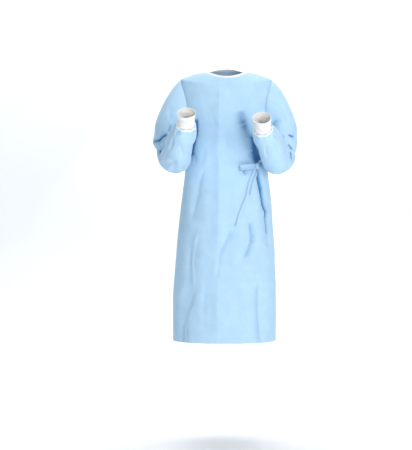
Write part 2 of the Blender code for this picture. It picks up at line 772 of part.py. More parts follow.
def waist_tie(collection):
    """The tie's stretches that show: the wrapped one, the knot, two bow loops and two tails."""
    wrap = [stop._replace(place=math.radians(stop.place)) for stop in WRAP]
    tie_strip("tie_wrap", wrap, WRAP_STEPS, collection)
    for name, stops in TAILS.items():
        placed = [stop._replace(place=front_angle(stop.place, stop.z)) for stop in stops]
        tie_strip(name, placed, TAIL_STEPS, collection)
    for name, loop in LOOPS.items():
        tie_loop(name, loop, collection)
    tie_knot(collection)


def main():
    for old in list(bpy.data.objects):
        bpy.data.objects.remove(old)
    collection = bpy.data.collections.new("medical_gown")
    bpy.context.scene.collection.children.link(collection)
    front = front_panel(collection)
    backs = back_panels(collection)
    neck_binding(collection, front, backs)
    for arm in ARMS:
        sleeve(arm, collection)
    waist_tie(collection)


main()
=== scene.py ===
"""The looks of a surgical gown in its worn shape: nonwoven panels, knit cuffs, neck binding and waist tie.

Metres, +Z up. The front faces -Y and the wearer's left is +X. Each cloth piece is a thin shell on the form of
its CAD node, with its creases laid as soft troughs and ridges.
"""

import math
from collections import namedtuple

import bmesh
import bpy
import numpy as np
from mathutils import Matrix, Vector


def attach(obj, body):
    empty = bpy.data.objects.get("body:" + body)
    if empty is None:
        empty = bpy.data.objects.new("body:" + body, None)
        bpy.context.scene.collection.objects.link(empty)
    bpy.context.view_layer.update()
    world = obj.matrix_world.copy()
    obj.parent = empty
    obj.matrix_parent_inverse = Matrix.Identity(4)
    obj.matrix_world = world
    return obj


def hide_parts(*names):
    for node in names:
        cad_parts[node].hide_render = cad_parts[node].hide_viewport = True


bl_info = {
    "name": "Surgical gown",
    "version": (1, 0, 0),
    "blender": (4, 5, 0),
    "location": "View3D > Sidebar > Gown",
    "description": "Builds the cloth, knit, binding, tie and sewing of a surgical gown",
    "category": "Object",
}

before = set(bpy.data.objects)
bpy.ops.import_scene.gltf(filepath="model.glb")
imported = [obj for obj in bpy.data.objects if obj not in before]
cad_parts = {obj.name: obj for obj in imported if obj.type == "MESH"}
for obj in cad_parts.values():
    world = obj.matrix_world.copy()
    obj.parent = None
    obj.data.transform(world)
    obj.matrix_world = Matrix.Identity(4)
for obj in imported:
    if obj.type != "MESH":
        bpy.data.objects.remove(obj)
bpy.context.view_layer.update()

# Body of the gown, by level: heights at the side, centre front and centre back, half width, depth ahead of
# and behind the shoulder line, squareness of the outline and its shift to the wearer's left
Section = namedtuple(
    "Section", "side_z front_z back_z half_width front_depth back_depth squareness shift"
)
BODY = (
    Section(-1.130, -1.130, -1.130, 0.2180, 0.176, 0.186, 2.25, -0.007),
    Section(-0.970, -0.970, -0.970, 0.2180, 0.170, 0.180, 2.25, -0.007),
    Section(-0.800, -0.800, -0.800, 0.2105, 0.161, 0.170, 2.30, -0.004),
    Section(-0.630, -0.630, -0.630, 0.1980, 0.151, 0.158, 2.35, -0.001),
    Section(-0.500, -0.500, -0.500, 0.1845, 0.143, 0.145, 2.40, 0.001),
    Section(-0.410, -0.410, -0.410, 0.1745, 0.138, 0.133, 2.40, 0.001),
    Section(-0.330, -0.330, -0.330, 0.1760, 0.141, 0.130, 2.40, 0.000),
    Section(-0.245, -0.247, -0.243, 0.1810, 0.140, 0.132, 2.40, 0.000),
    Section(-0.150, -0.158, -0.142, 0.1880, 0.129, 0.133, 2.30, 0.000),
    Section(-0.080, -0.106, -0.067, 0.1970, 0.112, 0.125, 2.05, 0.000),
    Section(-0.033, -0.070, -0.024, 0.1940, 0.099, 0.110, 2.00, 0.000),
    Section(-0.014, -0.052, -0.004, 0.1560, 0.094, 0.098, 1.90, 0.000),
    Section(-0.003, -0.040, 0.008, 0.1210, 0.090, 0.088, 1.95, 0.000),
    Section(0.002, -0.031, 0.018, 0.0930, 0.086, 0.080, 2.00, 0.001),
)
# Rows of the table at the underarm and the shoulder, and how far the armholes reach round the body
UNDERARM_ROW = 7
SHOULDER_ROW = 10
ARMHOLE_FRONT = math.radians(31)
ARMHOLE_BACK = math.radians(29)
# The back panels: how far each passes the middle, the lift between them, its ramp and margin, their edges
OVERLAP = 0.55
OVERLAP_LIFT = 0.003
OVERLAP_RAMP = 0.45
OVERLAP_MARGIN = 0.0675
UNDER_EDGE = -math.pi / 2 - OVERLAP
OVER_EDGE = -math.pi / 2 + OVERLAP
# How far in the over panel's free edge bends down, as a turn round the body, and by how much
LAID_REACH = 0.07
LAID_DROP = 0.0038

# Rows and columns of the shown cloth
ROWS_BELOW = 205
ROWS_ARMHOLE = 44
ROWS_SHOULDER = 18
COLUMNS_FRONT = 150
COLUMNS_BACK = 104
AROUND_SLEEVE = 132
ROWS_CAP = 34
ROWS_SLEEVE = 150
AROUND_CUFF = 264
ROWS_CUFF = 40
# Gap and dip of the cloth at a seam, and how fast the front half blends into the back half
SEAM_GAP = 0.0003
SEAM_DIP = 0.0004
SIDE_BLEND = 0.12
# Depth of a sharp crease that gets the most painted shade, how much of the shade colour that is, and how late
# it comes
FULL_SHADE_DEPTH = 0.0075
DEEPEST_SHADE = 0.95
SHADE_POWER = 1.6

# A fold fades over this share of its length at each end, from this share of the fading at its tip
FOLD_FADE = 0.25
FOLD_TIP = 0.25
# A fine crease starts from this share of its fading where it runs on into another one or over the hem,
# and where it is free it fades from nothing over this share of its length, this far at most
CREASE_TIP = 0.5
FREE_SHARE = 0.32
FREE_FADE = 0.045
# A crease: ends of its line seen square on, half width, height or depth, how far it bows to its side, how
# much steeper one flank is, and how strongly painted shade darkens it: from 1 up its crest is sharp
Crease = namedtuple(
    "Crease", "x0 z0 x1 z1 spread height bow lean crisp", defaults=(0, 0, 0))
# Folds that the solids have, on the front and the back half
BODY_FOLDS = {
    "front": (
        Crease(0.130, -0.430, 0.160, -0.590, 0.016, -0.011),
        Crease(0.160, -0.590, 0.178, -0.740, 0.018, -0.007),
        Crease(0.150, -0.300, 0.130, -0.395, 0.018, -0.008),
        Crease(0.036, -0.660, -0.020, -0.800, 0.026, -0.008),
        Crease(-0.020, -0.800, -0.026, -0.950, 0.028, -0.006),
        Crease(0.104, -0.640, 0.108, -0.720, 0.022, -0.007),
        Crease(0.108, -0.720, 0.072, -0.800, 0.022, -0.006),
        Crease(-0.029, -0.060, -0.031, -1.130, 0.022, 0.004),
        Crease(0.040, -0.150, 0.110, -0.290, 0.034, -0.007),
        Crease(-0.120, -0.420, -0.132, -0.620, 0.026, -0.006),
        Crease(-0.142, -0.700, -0.150, -1.000, 0.024, -0.007),
        Crease(-0.168, -0.900, -0.176, -1.130, 0.020, -0.006),
        Crease(0.142, -0.900, 0.150, -1.130, 0.022, -0.006),
    ),
    "back": (
        Crease(0.060, -0.440, 0.090, -0.760, 0.026, -0.008),
        Crease(-0.080, -0.420, -0.100, -0.820, 0.028, -0.009),
        Crease(-0.020, -0.430, -0.030, -0.900, 0.026, 0.006),
        Crease(-0.150, -0.480, -0.170, -1.130, 0.028, -0.008),
        Crease(0.160, -0.560, 0.180, -1.130, 0.028, -0.008),
        Crease(0.040, -0.800, 0.030, -1.130, 0.030, -0.007),
        Crease(-0.090, -0.860, -0.080, -1.130, 0.028, -0.006),
        Crease(-0.060, -0.120, -0.110, -0.300, 0.028, -0.006),
        Crease(0.070, -0.110, 0.110, -0.300, 0.028, -0.006),
    ),
}

# Finer creases that only the shown cloth has
BODY_CREASES = {
    "front": (
        # Packing creases: one down the front, three across it
        Crease(-0.0295, -0.030, -0.0310, -1.130, 0.045, 0.0042, 0.000, 0.0, 1),
        Crease(-0.0295, -0.045, -0.0310, -1.130, 0.004, 0.0009, 0.001, 0.0, 1),
        Crease(-0.150, -0.398, 0.115, -0.396, 0.010, 0.0009, 0.002, 0.3, 1),
        Crease(-0.185, -0.681, 0.180, -0.683, 0.010, 0.0008, 0.002, -0.3, 1),
        Crease(-0.190, -0.884, 0.185, -0.880, 0.010, 0.0009, 0.002, 0.3, 1),
        # Deep fold below the knot, darkened with painted shade along it, and the pulls that gather into the
        # knot
        Crease(0.122, -0.396, 0.146, -0.505, 0.006, -0.0075, 0.000, -0.5, 1.3),
        Crease(0.146, -0.505, 0.166, -0.600, 0.006, -0.0066, 0.000, -0.5, 1.2),
        Crease(0.166, -0.600, 0.174, -0.680, 0.006, -0.0046, 0.000, -0.4, 1.1),
        Crease(0.174, -0.680, 0.178, -0.750, 0.008, -0.0018, 0.000, -0.3, 0.9),
        Crease(0.142, -0.425, 0.160, -0.520, 0.010, 0.0035, 0.002, 0.2, 0),
        Crease(0.112, -0.408, 0.050, -0.440, 0.009, -0.0020, 0.003, 0.3, 1),
        Crease(0.112, -0.395, 0.030, -0.385, 0.010, -0.0016, 0.003, -0.2, 1),
        Crease(0.118, -0.388, 0.080, -0.345, 0.010, -0.0018, 0.003, 0.2, 0.3),
        Crease(0.112, -0.420, 0.090, -0.520, 0.012, -0.0014, 0.004, 0.0, 0),
        # Chest: the hollow beside the raised forearm and the slack across the chest
        # The hollow's darkening is a painted shadow of the raised hand and forearm falling on the chest
        Crease(0.056, -0.160, 0.078, -0.225, 0.036, -0.0042, -0.003, 0.3, 0.9),
        Crease(0.078, -0.225, 0.108, -0.290, 0.030, -0.0042, 0.000, 0.3, 0.9),
        # Painted deep shadow in the gap between the wearer's left forearm and the body, reaching down to the
        # knot
        Crease(0.106, -0.268, 0.124, -0.330, 0.011, -0.0050, 0.000, 0.3, 1.5),
        Crease(0.124, -0.330, 0.147, -0.402, 0.017, -0.0062, 0.000, 0.3, 2.2),
        # Painted shadow in the gap beside the wearer's right forearm
        Crease(-0.124, -0.195, -0.128, -0.262, 0.011, -0.0045, 0.000, 0.3, 2.0),
        Crease(-0.128, -0.262, -0.148, -0.335, 0.013, -0.0055, 0.000, 0.3, 2.4),
        Crease(-0.148, -0.335, -0.167, -0.388, 0.013, -0.0055, 0.000, 0.3, 2.4),
        Crease(-0.073, -0.270, 0.014, -0.324, 0.012, 0.0015, -0.012, 0.4, 0),
        Crease(0.000, -0.293, 0.056, -0.312, 0.010, 0.0012, -0.004, -0.3, 1),
        Crease(-0.060, -0.180, -0.035, -0.250, 0.012, -0.0012, 0.004, 0.2, 0),
        Crease(0.012, -0.060, 0.020, -0.140, 0.014, -0.0013, 0.003, 0.1, 0),
        Crease(-0.080, -0.330, -0.105, -0.400, 0.012, -0.0018, 0.004, 0.2, 0),
        Crease(-0.118, -0.215, -0.135, -0.330, 0.012, -0.0026, 0.004, 0.4, 0),
        Crease(-0.140, -0.330, -0.120, -0.400, 0.010, -0.0022, 0.003, -0.3, 1),
        # Skirt
        Crease(-0.089, -0.406, -0.122, -0.513, 0.013, -0.0022, 0.005, 0.3, 0),
        Crease(-0.122, -0.513, -0.143, -0.640, 0.014, -0.0020, 0.004, 0.2, 0),
        Crease(-0.115, -0.665, -0.139, -0.810, 0.013, 0.0024, 0.005, 0.5, 0),
        Crease(-0.139, -0.810, -0.133, -0.930, 0.013, 0.0022, -0.004, 0.5, 0),
        Crease(-0.122, -0.905, -0.158, -1.030, 0.014, -0.0022, 0.004, 0.2, 0),
        Crease(-0.150, -0.740, -0.146, -0.840, 0.012, -0.0022, 0.003, 0.2, 0),
        Crease(-0.177, -1.045, -0.175, -1.130, 0.008, -0.0024, 0.001, 0.3, 1),
        Crease(-0.160, -1.060, -0.156, -1.130, 0.008, -0.0016, 0.001, -0.3, 1),
        Crease(0.022, -0.650, -0.022, -0.755, 0.014, -0.0038, -0.004, -0.5, 0.6),
        Crease(-0.022, -0.755, -0.036, -0.885, 0.012, -0.0032, 0.000, -0.4, 0.5),
        Crease(0.091, -0.618, 0.106, -0.700, 0.014, -0.0036, -0.002, -0.5, 0.85),
        Crease(0.106, -0.700, 0.068, -0.790, 0.014, -0.0036, -0.006, -0.5, 0.85),
        Crease(0.137, -0.870, 0.145, -1.130, 0.014, -0.0024, 0.003, 0.5, 1),
        Crease(0.052, -0.880, 0.060, -1.080, 0.018, -0.0014, 0.006, 0.3, 0),
        Crease(-0.078, -0.860, -0.086, -1.100, 0.018, -0.0016, 0.006, -0.3, 0),
        Crease(0.150, -0.780, 0.168, -0.900, 0.014, -0.0018, 0.004, 0.2, 0),
        Crease(0.030, -0.470, 0.010, -0.600, 0.016, -0.0012, 0.005, 0.2, 0),
        Crease(0.100, -0.880, 0.094, -1.000, 0.014, 0.0012, 0.004, 0.2, 0),
    ),
    "back": (
        # Back: the same kinds, with the tie's pull across the waist
        Crease(0.000, -0.040, 0.002, -1.130, 0.045, 0.0032, 0.000, 0.0, 1),
        Crease(-0.150, -0.398, 0.150, -0.396, 0.010, 0.0009, 0.002, 0.3, 1),
        Crease(-0.185, -0.682, 0.185, -0.680, 0.010, 0.0008, 0.002, -0.3, 1),
        Crease(-0.190, -0.882, 0.190, -0.884, 0.010, 0.0009, 0.002, 0.3, 1),
        Crease(0.120, -0.400, 0.150, -0.520, 0.012, -0.0040, 0.004, 0.4, 1),
        Crease(0.080, -0.405, 0.088, -0.560, 0.013, -0.0034, 0.005, 0.2, 0),
        Crease(0.030, -0.410, 0.020, -0.600, 0.014, -0.0030, 0.005, -0.3, 0),
        Crease(-0.050, -0.405, -0.066, -0.570, 0.013, -0.0034, 0.005, 0.3, 1),
        Crease(-0.115, -0.400, -0.128, -0.540, 0.012, -0.0036, 0.004, 0.4, 0),
        Crease(0.100, -0.375, 0.080, -0.270, 0.014, -0.0030, 0.006, 0.3, 0),
        Crease(-0.100, -0.370, -0.075, -0.250, 0.014, -0.0032, 0.006, -0.3, 0),
        Crease(0.020, -0.370, 0.040, -0.220, 0.015, -0.0020, 0.006, 0.0, 0),
        Crease(-0.140, -0.130, -0.090, -0.220, 0.013, -0.0028, 0.006, 0.3, 0),
        Crease(0.140, -0.125, 0.095, -0.230, 0.013, -0.0028, -0.006, 0.3, 0),
        Crease(0.110, -0.700, 0.125, -0.900, 0.015, -0.0026, 0.006, 0.4, 0),
        Crease(-0.040, -0.720, -0.060, -0.960, 0.015, -0.0024, 0.006, -0.4, 0),
        Crease(0.060, -0.900, 0.072, -1.130, 0.014, -0.0022, 0.004, 0.3, 1),
        Crease(-0.130, -0.960, -0.124, -1.130, 0.013, -0.0024, 0.004, 0.3, 0),
    ),
}

# Stitches: how far off the cloth, how far out and up round the armholes, the turn beside the side seams, the
# height above the hem and the rise on the binding
STITCH_LIFT = 0.0002
ARMHOLE_STITCH_REACH = 1 + 0.016 / 0.18
ARMHOLE_STITCH_RISE = 1.03
SIDE_STITCH = 0.022
HEM_STITCH = 0.012
BINDING_STITCH_RISE = 0.0016

# Arms: side, then the middle of the sleeve below the armhole, at the elbow, at the cuff seam and at the
# cuff's open end, given for the wearer's left and mirrored for the right
Arm = namedtuple("Arm", "name side start elbow seam hand")
ARMS = (
    Arm("left", 1, (0.241, -0.036, -0.240), (0.220, -0.108, -0.404), (0.1418, -0.303, -0.2600),
        (0.1350, -0.3450, -0.2205)),
    Arm("right", -1, (0.244, -0.036, -0.240), (0.219, -0.108, -0.406), (0.1645, -0.303, -0.2440),
        (0.1625, -0.3430, -0.2010)),
)
ELBOW_RADIUS = 0.075
WRIST_RADIUS = 0.120

# Sleeve and cuff sections by share of their length: reach outwards, inwards, to the crook and to the elbow
Ring = namedtuple("Ring", "share outward inward crook elbow")
SLEEVE = (
    Ring(0.00, 0.057, 0.050, 0.066, 0.070),
    Ring(0.22, 0.061, 0.053, 0.064, 0.070),
    Ring(0.37, 0.066, 0.062, 0.055, 0.069),
    Ring(0.46, 0.064, 0.068, 0.041, 0.069),
    Ring(0.56, 0.060, 0.070, 0.054, 0.068),
    Ring(0.68, 0.061, 0.067, 0.060, 0.064),
    Ring(0.82, 0.056, 0.058, 0.054, 0.056),
    Ring(0.94, 0.047, 0.048, 0.045, 0.047),
    Ring(1.00, 0.0355, 0.0355, 0.0330, 0.0335),
)
CUFF = (
    Ring(0.00, 0.0355, 0.0355, 0.0330, 0.0335),
    Ring(0.20, 0.0340, 0.0340, 0.0315, 0.0320),
    Ring(0.55, 0.0350, 0.0350, 0.0315, 0.0320),
    Ring(1.00, 0.0380, 0.0380, 0.0335, 0.0335),
)
# How a sleeve leaves the armhole at four sides, and how straight it comes into its first ring
CAP_TOP = (0.135, -0.012, -0.068)
CAP_FRONT = (0.050, -0.045, -0.020)
CAP_UNDER = (0.030, -0.010, -0.030)
CAP_BACK = (0.070, 0.010, -0.030)
CAP_END_TOP = 0.110
CAP_END_UNDER = 0.022
# The creases set in over this length from the armhole
CAP_SEAM_REACH = 0.02
# Gathers above a cuff, and the rolled edge of its seam
GATHER_REACH = 0.05
BROAD_GATHERS = 8
BROAD_GATHER = 0.0016
ROWS_SEAM_EDGE = 12
SEAM_EDGE_WIDTH = 0.0075
SEAM_EDGE_RISE = 0.0016
SEAM_EDGE_OFF = 0.0020
SEAM_EDGE_THICKNESS = 0.0008

# Creases of a sleeve: ends of the line as a turn in degrees round the arm from its outside over the crook,
# and a share of the way from the armhole to the cuff seam, then as for the body
Line = namedtuple(
    "Line", "turn0 share0 turn1 share1 spread height bow lean crisp", defaults=(0, 0, 0))
# How many rows of each sleeve are folds that the solids have
SOLID_FOLDS = 5
SLEEVE_LINES = {
    "left": (
        Line(-30, 0.34, 30, 0.36, 0.030, 0.0040),
        Line(20, 0.50, 120, 0.53, 0.012, -0.0080),
        Line(-20, 0.46, 60, 0.44, 0.012, -0.0060),
        Line(-60, 0.56, 10, 0.62, 0.012, -0.0060),
        Line(-110, 0.62, -40, 0.74, 0.014, -0.0050),
        Line(100, 0.375, 84, 0.385, 0.007, -0.0060),
        # Crook creases of this elbow, darkened with painted shade
        Line(74, 0.350, 32, 0.336, 0.007, -0.0044, 0.003, 0.4, 1.6),
        Line(68, 0.444, 36, 0.488, 0.007, -0.0050, 0.003, 0.4, 1.8),
        Line(54, 0.525, 4, 0.602, 0.007, -0.0050, 0.004, 0.4, 1.6),
        Line(70, 0.400, 20, 0.410, 0.007, 0.0022, 0.003, 0.2, 0),
        Line(-8, 0.930, -22, 0.770, 0.009, -0.0030, 0.006, 0.4, 0),
        Line(2, 0.975, -4, 0.900, 0.006, -0.0022, 0.002, 0.2, 1),
        Line(-60, 0.930, -74, 0.770, 0.010, -0.0030, 0.006, -0.3, 0),
        Line(110, 0.600, 130, 0.840, 0.011, -0.0034, 0.006, 0.3, 0),
        Line(82, 0.130, 80, 0.285, 0.012, -0.0022, 0.006, 0.3, 0),
        Line(30, 0.100, 44, 0.250, 0.013, -0.0018, 0.006, -0.3, 0),
        Line(150, 0.080, 120, 0.220, 0.012, -0.0030, 0.005, 0.3, 0),
        Line(-90, 0.120, -70, 0.300, 0.014, -0.0034, 0.007, 0.3, 0),
        Line(-130, 0.150, -100, 0.330, 0.012, -0.0030, 0.006, -0.3, 0),
        Line(-70, 0.420, 0, 0.400, 0.012, -0.0028, 0.006, 0.2, 0),
        Line(170, 0.400, 110, 0.440, 0.010, -0.0036, 0.004, 0.2, 1),
        Line(205, 0.580, 205, 0.900, 0.078, -0.0115),
    ),
    "right": (
        Line(-40, 0.33, 30, 0.36, 0.030, 0.0120),
        Line(10, 0.50, 120, 0.53, 0.014, -0.0100),
        Line(-10, 0.58, -40, 0.70, 0.012, -0.0060),
        Line(-70, 0.56, -40, 0.72, 0.014, -0.0060),
        Line(-20, 0.40, 50, 0.42, 0.014, -0.0050),
        # Crook creases of this elbow, darkened with painted shade
        Line(2, 0.362, 40, 0.372, 0.007, -0.0065, 0.002, -0.4, 1),
        Line(40, 0.372, 86, 0.352, 0.008, -0.0070, 0.002, -0.4, 1),
        Line(84, 0.352, 108, 0.262, 0.008, -0.0045, 0.002, -0.3, 1),
        Line(32, 0.466, 18, 0.540, 0.007, -0.0056, 0.002, 0.3, 1.8),
        Line(84, 0.430, 40, 0.450, 0.010, 0.0030, 0.004, 0.2, 0),
        Line(-6, 0.920, -14, 0.760, 0.009, -0.0032, 0.006, 0.4, 0),
        Line(-8, 0.980, -24, 0.935, 0.006, -0.0024, 0.002, 0.2, 1),
        Line(-48, 0.890, -76, 0.750, 0.010, -0.0030, 0.006, -0.3, 0),
        Line(108, 0.600, 132, 0.860, 0.011, -0.0034, 0.006, 0.3, 0),
        Line(52, 0.120, 100, 0.245, 0.011, -0.0028, 0.006, 0.3, 0),
        Line(22, 0.110, 40, 0.260, 0.013, -0.0020, 0.006, -0.3, 0),
        Line(150, 0.080, 124, 0.210, 0.012, -0.0030, 0.005, 0.3, 0),
        Line(-92, 0.120, -66, 0.310, 0.014, -0.0034, 0.007, 0.3, 0),
        Line(-128, 0.160, -98, 0.340, 0.012, -0.0030, 0.006, -0.3, 0),
        Line(-66, 0.430, -4, 0.440, 0.012, -0.0028, 0.006, 0.2, 0),
        Line(168, 0.400, 112, 0.440, 0.010, -0.0036, 0.004, 0.2, 1),
        Line(205, 0.580, 205, 0.900, 0.078, -0.0115),
    ),
}
# Creases of the knit cuffs, in the same way
CUFF_LINES = (
    Line(40, 0.30, 150, 0.42, 0.005, -0.0016, 0.001, 0.3, 0),
    Line(-150, 0.34, -30, 0.24, 0.005, -0.0014, 0.001, -0.3, 0),
    Line(-80, 0.62, 30, 0.54, 0.005, -0.0015, 0.001, 0.2, 0),
    Line(90, 0.68, 190, 0.60, 0.006, -0.0013, 0.001, 0.2, 0),
)

# Neck binding: height, thickness, how far it reaches below the edge, squareness, and its pucker
BINDING_HEIGHT = 0.010
BINDING_THICKNESS = 0.003
BINDING_TUCK = 0.0006
BINDING_SQUARENESS = 3.4
PUCKER = 0.05
PUCKER_WAVES = (0.011, 0.031)

# Waist tie: its knot and each stretch by its stops, as in the solids
TIE_WALL = 0.0012
KNOT_X, KNOT_Z, KNOT_LIFT = 0.122, -0.400, 0.0098
KNOT_SIZE = (0.020, 0.017, 0.024)
# The knot's windings: how many and how slanting, how far they stand up, the pinch at its middle, its stretch
KNOT_WINDS = 7.0
KNOT_SLANT = 0.55
KNOT_TWIST = 1.2
KNOT_RIDGE = 0.07
KNOT_PINCH = 0.16
KNOT_PINCH_REACH = 0.22
KNOT_STRETCH = 1.04
Stop = namedtuple("Stop", "place z lift width")
WRAP = (
    Stop(-67.0, -0.385, 0.0038, 0.030),
    Stop(-58.4, -0.385, 0.0038, 0.030),
    Stop(-45.0, -0.382, 0.0020, 0.028),
    Stop(0.0, -0.364, 0.0020, 0.022),
    Stop(26.0, -0.369, 0.0020, 0.016),
    Stop(38.0, -0.3825, 0.0040, 0.012),
    Stop(44.6, -0.3980, 0.0095, 0.009),
)
TAILS = {
    "tie_tail_long": (
        Stop(0.1188, -0.4070, 0.0018, 0.007),
        Stop(0.1110, -0.4250, 0.0020, 0.008),
        Stop(0.0910, -0.4740, 0.0030, 0.008),
        Stop(0.0765, -0.5380, 0.0030, 0.008),
        Stop(0.0610, -0.5720, 0.0025, 0.009),
        Stop(0.0480, -0.6100, 0.0025, 0.008),
        Stop(0.0390, -0.6480, 0.0025, 0.014),
    ),
    "tie_tail_short": (
        Stop(0.1270, -0.4075, 0.0016, 0.007),
        Stop(0.1250, -0.4250, 0.0030, 0.008),
        Stop(0.1070, -0.4740, 0.0030, 0.008),
        Stop(0.0970, -0.5200, 0.0025, 0.010),
    ),
}
Loop = namedtuple("Loop", "x0 z0 x1 z1 lift opening width")
LOOPS = {
    "tie_loop_upper": Loop(0.1136, -0.3970, 0.0520, -0.4100, 0.0150, 0.0070, 0.023),
    "tie_loop_lower": Loop(0.1138, -0.4045, 0.0740, -0.4310, 0.0066, 0.0040, 0.019),
}
# Half the gap between a loop's two layers at the knot, its width there, and how it widens
LOOP_PARTING = 0.0011
LOOP_ROOT = 0.00923
LOOP_SWELL = 0.7
WRAP_STEPS = 120
TAIL_STEPS = 90
LOOP_STEPS = 72
ACROSS_TIE = 10

# Each cloth piece as it is cut: width, length and area of what shows, and how it is held
Cut = namedtuple("Cut", "width length area held")

# Floor height, colours of the lights and the surroundings, and how strongly the surroundings light the gown
FLOOR_Z = -1.565
WHITE = (1.0, 1.0, 1.0)
COOL = (0.80, 0.91, 1.0)
PALE = (0.64, 0.68, 0.72)
SURROUND = 0.32
# Floor and backdrop: where the floor starts, where it bends up, the bend's radius, half its width and its top
FLOOR_FRONT = -6.5
BEND_START = 2.2
BEND = 0.9
FLOOR_SIDE = 7.0
WALL_TOP = 4.5
# Camera: sensor width, how far from the gown, how far aside and below its origin, and the photo's scale
SENSOR = 36
CAMERA_AWAY = 5.0
CAMERA_X = -0.085
CAMERA_Z = -0.644
PICTURE_ROWS = 450
METRES_A_PIXEL = 0.00424
# Lights: name, place, what they point at, width, power and colour
GOWN_MIDDLE = (0.0, 0.0, -0.55)
LIGHTS = (
    ("key", (1.2, -4.1, -0.1), GOWN_MIDDLE, 1.0, 50.0, WHITE),
    ("side", (2.5, -3.3, 0.2), GOWN_MIDDLE, 1.6, 44.0, WHITE),
    ("fill", (-1.6, -4.0, 0.2), GOWN_MIDDLE, 2.4, 24.0, COOL),
    ("top", (0.6, -1.2, 2.4), GOWN_MIDDLE, 1.2, 5.0, WHITE),
    ("back", (-1.4, 2.4, 0.7), GOWN_MIDDLE, 1.8, 16.0, WHITE),
    ("backdrop", (0.0, 0.9, 3.6), (0.0, 3.1, -0.6), 3.0, 150.0, WHITE),
)
# Cloth textures: pitch of the bond points, knit loops of cuff and binding, and how much the cloud tints
BOND_PITCH = 0.0024
CUFF_LOOP = 0.0011
BINDING_LOOP = 0.0007
CLOUD_SHARE = 0.07
# Slow wave of the cuffs, the share of their length over which it sets in, and how strongly painted shade
# darkens their troughs
CUFF_WAVE = 0.0005
CUFF_FADE = 0.12
CUFF_SHADE = 1.5
# Step for slopes on the body
TINY = 1e-4


def length_property(name, description, default):
    return bpy.props.FloatProperty(name=name, description=description, default=default, unit="LENGTH")


class GownSizes(bpy.types.PropertyGroup):
    """Sizes that a user may change."""

    cloth: length_property("Cloth", "Thickness of the shown cloth", 0.001)
    knit: length_property("Knit", "Thickness of the knit cuffs", 0.0014)
    creasing: bpy.props.FloatProperty(
        name="Creasing", description="Strength of the fine creases", default=1.3, min=0, max=1.6)
    crease_width: bpy.props.FloatProperty(
        name="Crease width", description="Share of the width that the tables give a fine crease",
        default=0.72, min=0.5, max=1.2)
    crumple: length_property("Crumple", "Height of the cloth's unevenness", 0.0009)
    gathers: bpy.props.IntProperty(
        name="Gathers", description="Gathers round each cuff seam", default=26)
    gather_depth: length_property("Gather depth", "Depth of the gathers", 0.0008)
    ribs: bpy.props.IntProperty(name="Ribs", description="Knit ribs round a cuff", default=66)
    rib_depth: length_property("Rib depth", "Height of a knit rib", 0.0004)
    stitch_pitch: length_property("Stitch pitch", "From one stitch to the next", 0.0036)
    stitch_length: length_property("Stitch", "Length of a stitch that shows", 0.0025)
    thread: length_property("Thread", "Thickness of the thread", 0.0005)


def colour_property(name, description, default):
    return bpy.props.FloatVectorProperty(
        name=name, description=description, default=default, subtype="COLOR", size=3, min=0, max=1)


class GownColours(bpy.types.PropertyGroup):
    """Colours that a user may change."""

    cloth: colour_property("Cloth", "Blue of the panels and sleeves", (0.48, 0.69, 0.87))
    # Painted shade in the creases of the cloth, also the darker end of its mottle
    cloth_shade_and_mottle: colour_property("Cloth shade and mottle", "Blue of the painted shade in the creases, and the darker end of the mottle", (0.05, 0.20, 0.42))
    cuff: colour_property("Cuffs", "White of the knit", (0.93, 0.90, 0.87))
    binding: colour_property("Binding", "White of the neck binding", (0.93, 0.91, 0.87))
    tie: colour_property("Tie", "Blue of the tie", (0.50, 0.71, 0.90))
    # Painted shade on the tie's edges, crease and loops, also the darker end of its mottle
    tie_shade_and_mottle: colour_property("Tie shade and mottle", "Blue of the painted shade on the tie, and the darker end of its mottle", (0.20, 0.30, 0.52))
    seam_edge: colour_property("Seam edge", "Pale edge where a cuff is sewn on", (0.82, 0.89, 0.93))
    thread: colour_property("Thread", "Blue of the sewing thread", (0.50, 0.72, 0.92))
    floor: colour_property("Floor", "Pale floor and backdrop", (0.96, 0.96, 0.96))


def unit(vectors):
    return vectors / np.maximum(np.linalg.norm(vectors, axis=-1, keepdims=True), 1e-12)


def eased(share):
    """0 to 1 with a soft start and end."""
    share = np.clip(share, 0.0, 1.0)
    return share * share * (3 - 2 * share)


def slopes(places, rows):
    """Slopes of a smooth curve through the rows that never overshoots them."""
    rises = np.diff(rows, axis=0) / np.diff(places)[:, None]
    found = np.zeros_like(rows)
    found[0], found[-1] = rises[0], rises[-1]
    before, after = rises[:-1], rises[1:]
    same_way = before * after > 0
    total = np.where(same_way, before + after, 1.0)
    found[1:-1] = np.where(same_way, 2 * before * after / total, 0.0)
    return found


class SmoothTable:
    """Reads the columns of a table between its rows, at many places at once."""

    def __init__(self, places, rows):
        self.places = np.array(places, float)
        self.rows = np.array(rows, float)
        self.slopes = slopes(self.places, self.rows)

    def at(self, place):
        place = np.clip(place, self.places[0], self.places[-1])
        i = np.clip(np.searchsorted(self.places, place, side="right") - 1, 0, len(self.places) - 2)
        step = self.places[i + 1] - self.places[i]
        t = ((place - self.places[i]) / step)[..., None]
        step = step[..., None]
        return (
            self.rows[i] * (1 + 2 * t) * (1 - t) ** 2
            + self.slopes[i] * step * t * (1 - t) ** 2
            + self.rows[i + 1] * t * t * (3 - 2 * t)
            + self.slopes[i + 1] * step * t * t * (t - 1)
        )


SIDES = np.array([[s.side_z, s.half_width] for s in BODY])
LEVELS = np.concatenate([[0.0], np.cumsum(np.linalg.norm(np.diff(SIDES, axis=0), axis=1))])
BODY_TABLE = SmoothTable(LEVELS, BODY)
UNDERARM = LEVELS[UNDERARM_ROW]
SHOULDER = LEVELS[SHOULDER_ROW]
NECK = LEVELS[-1]


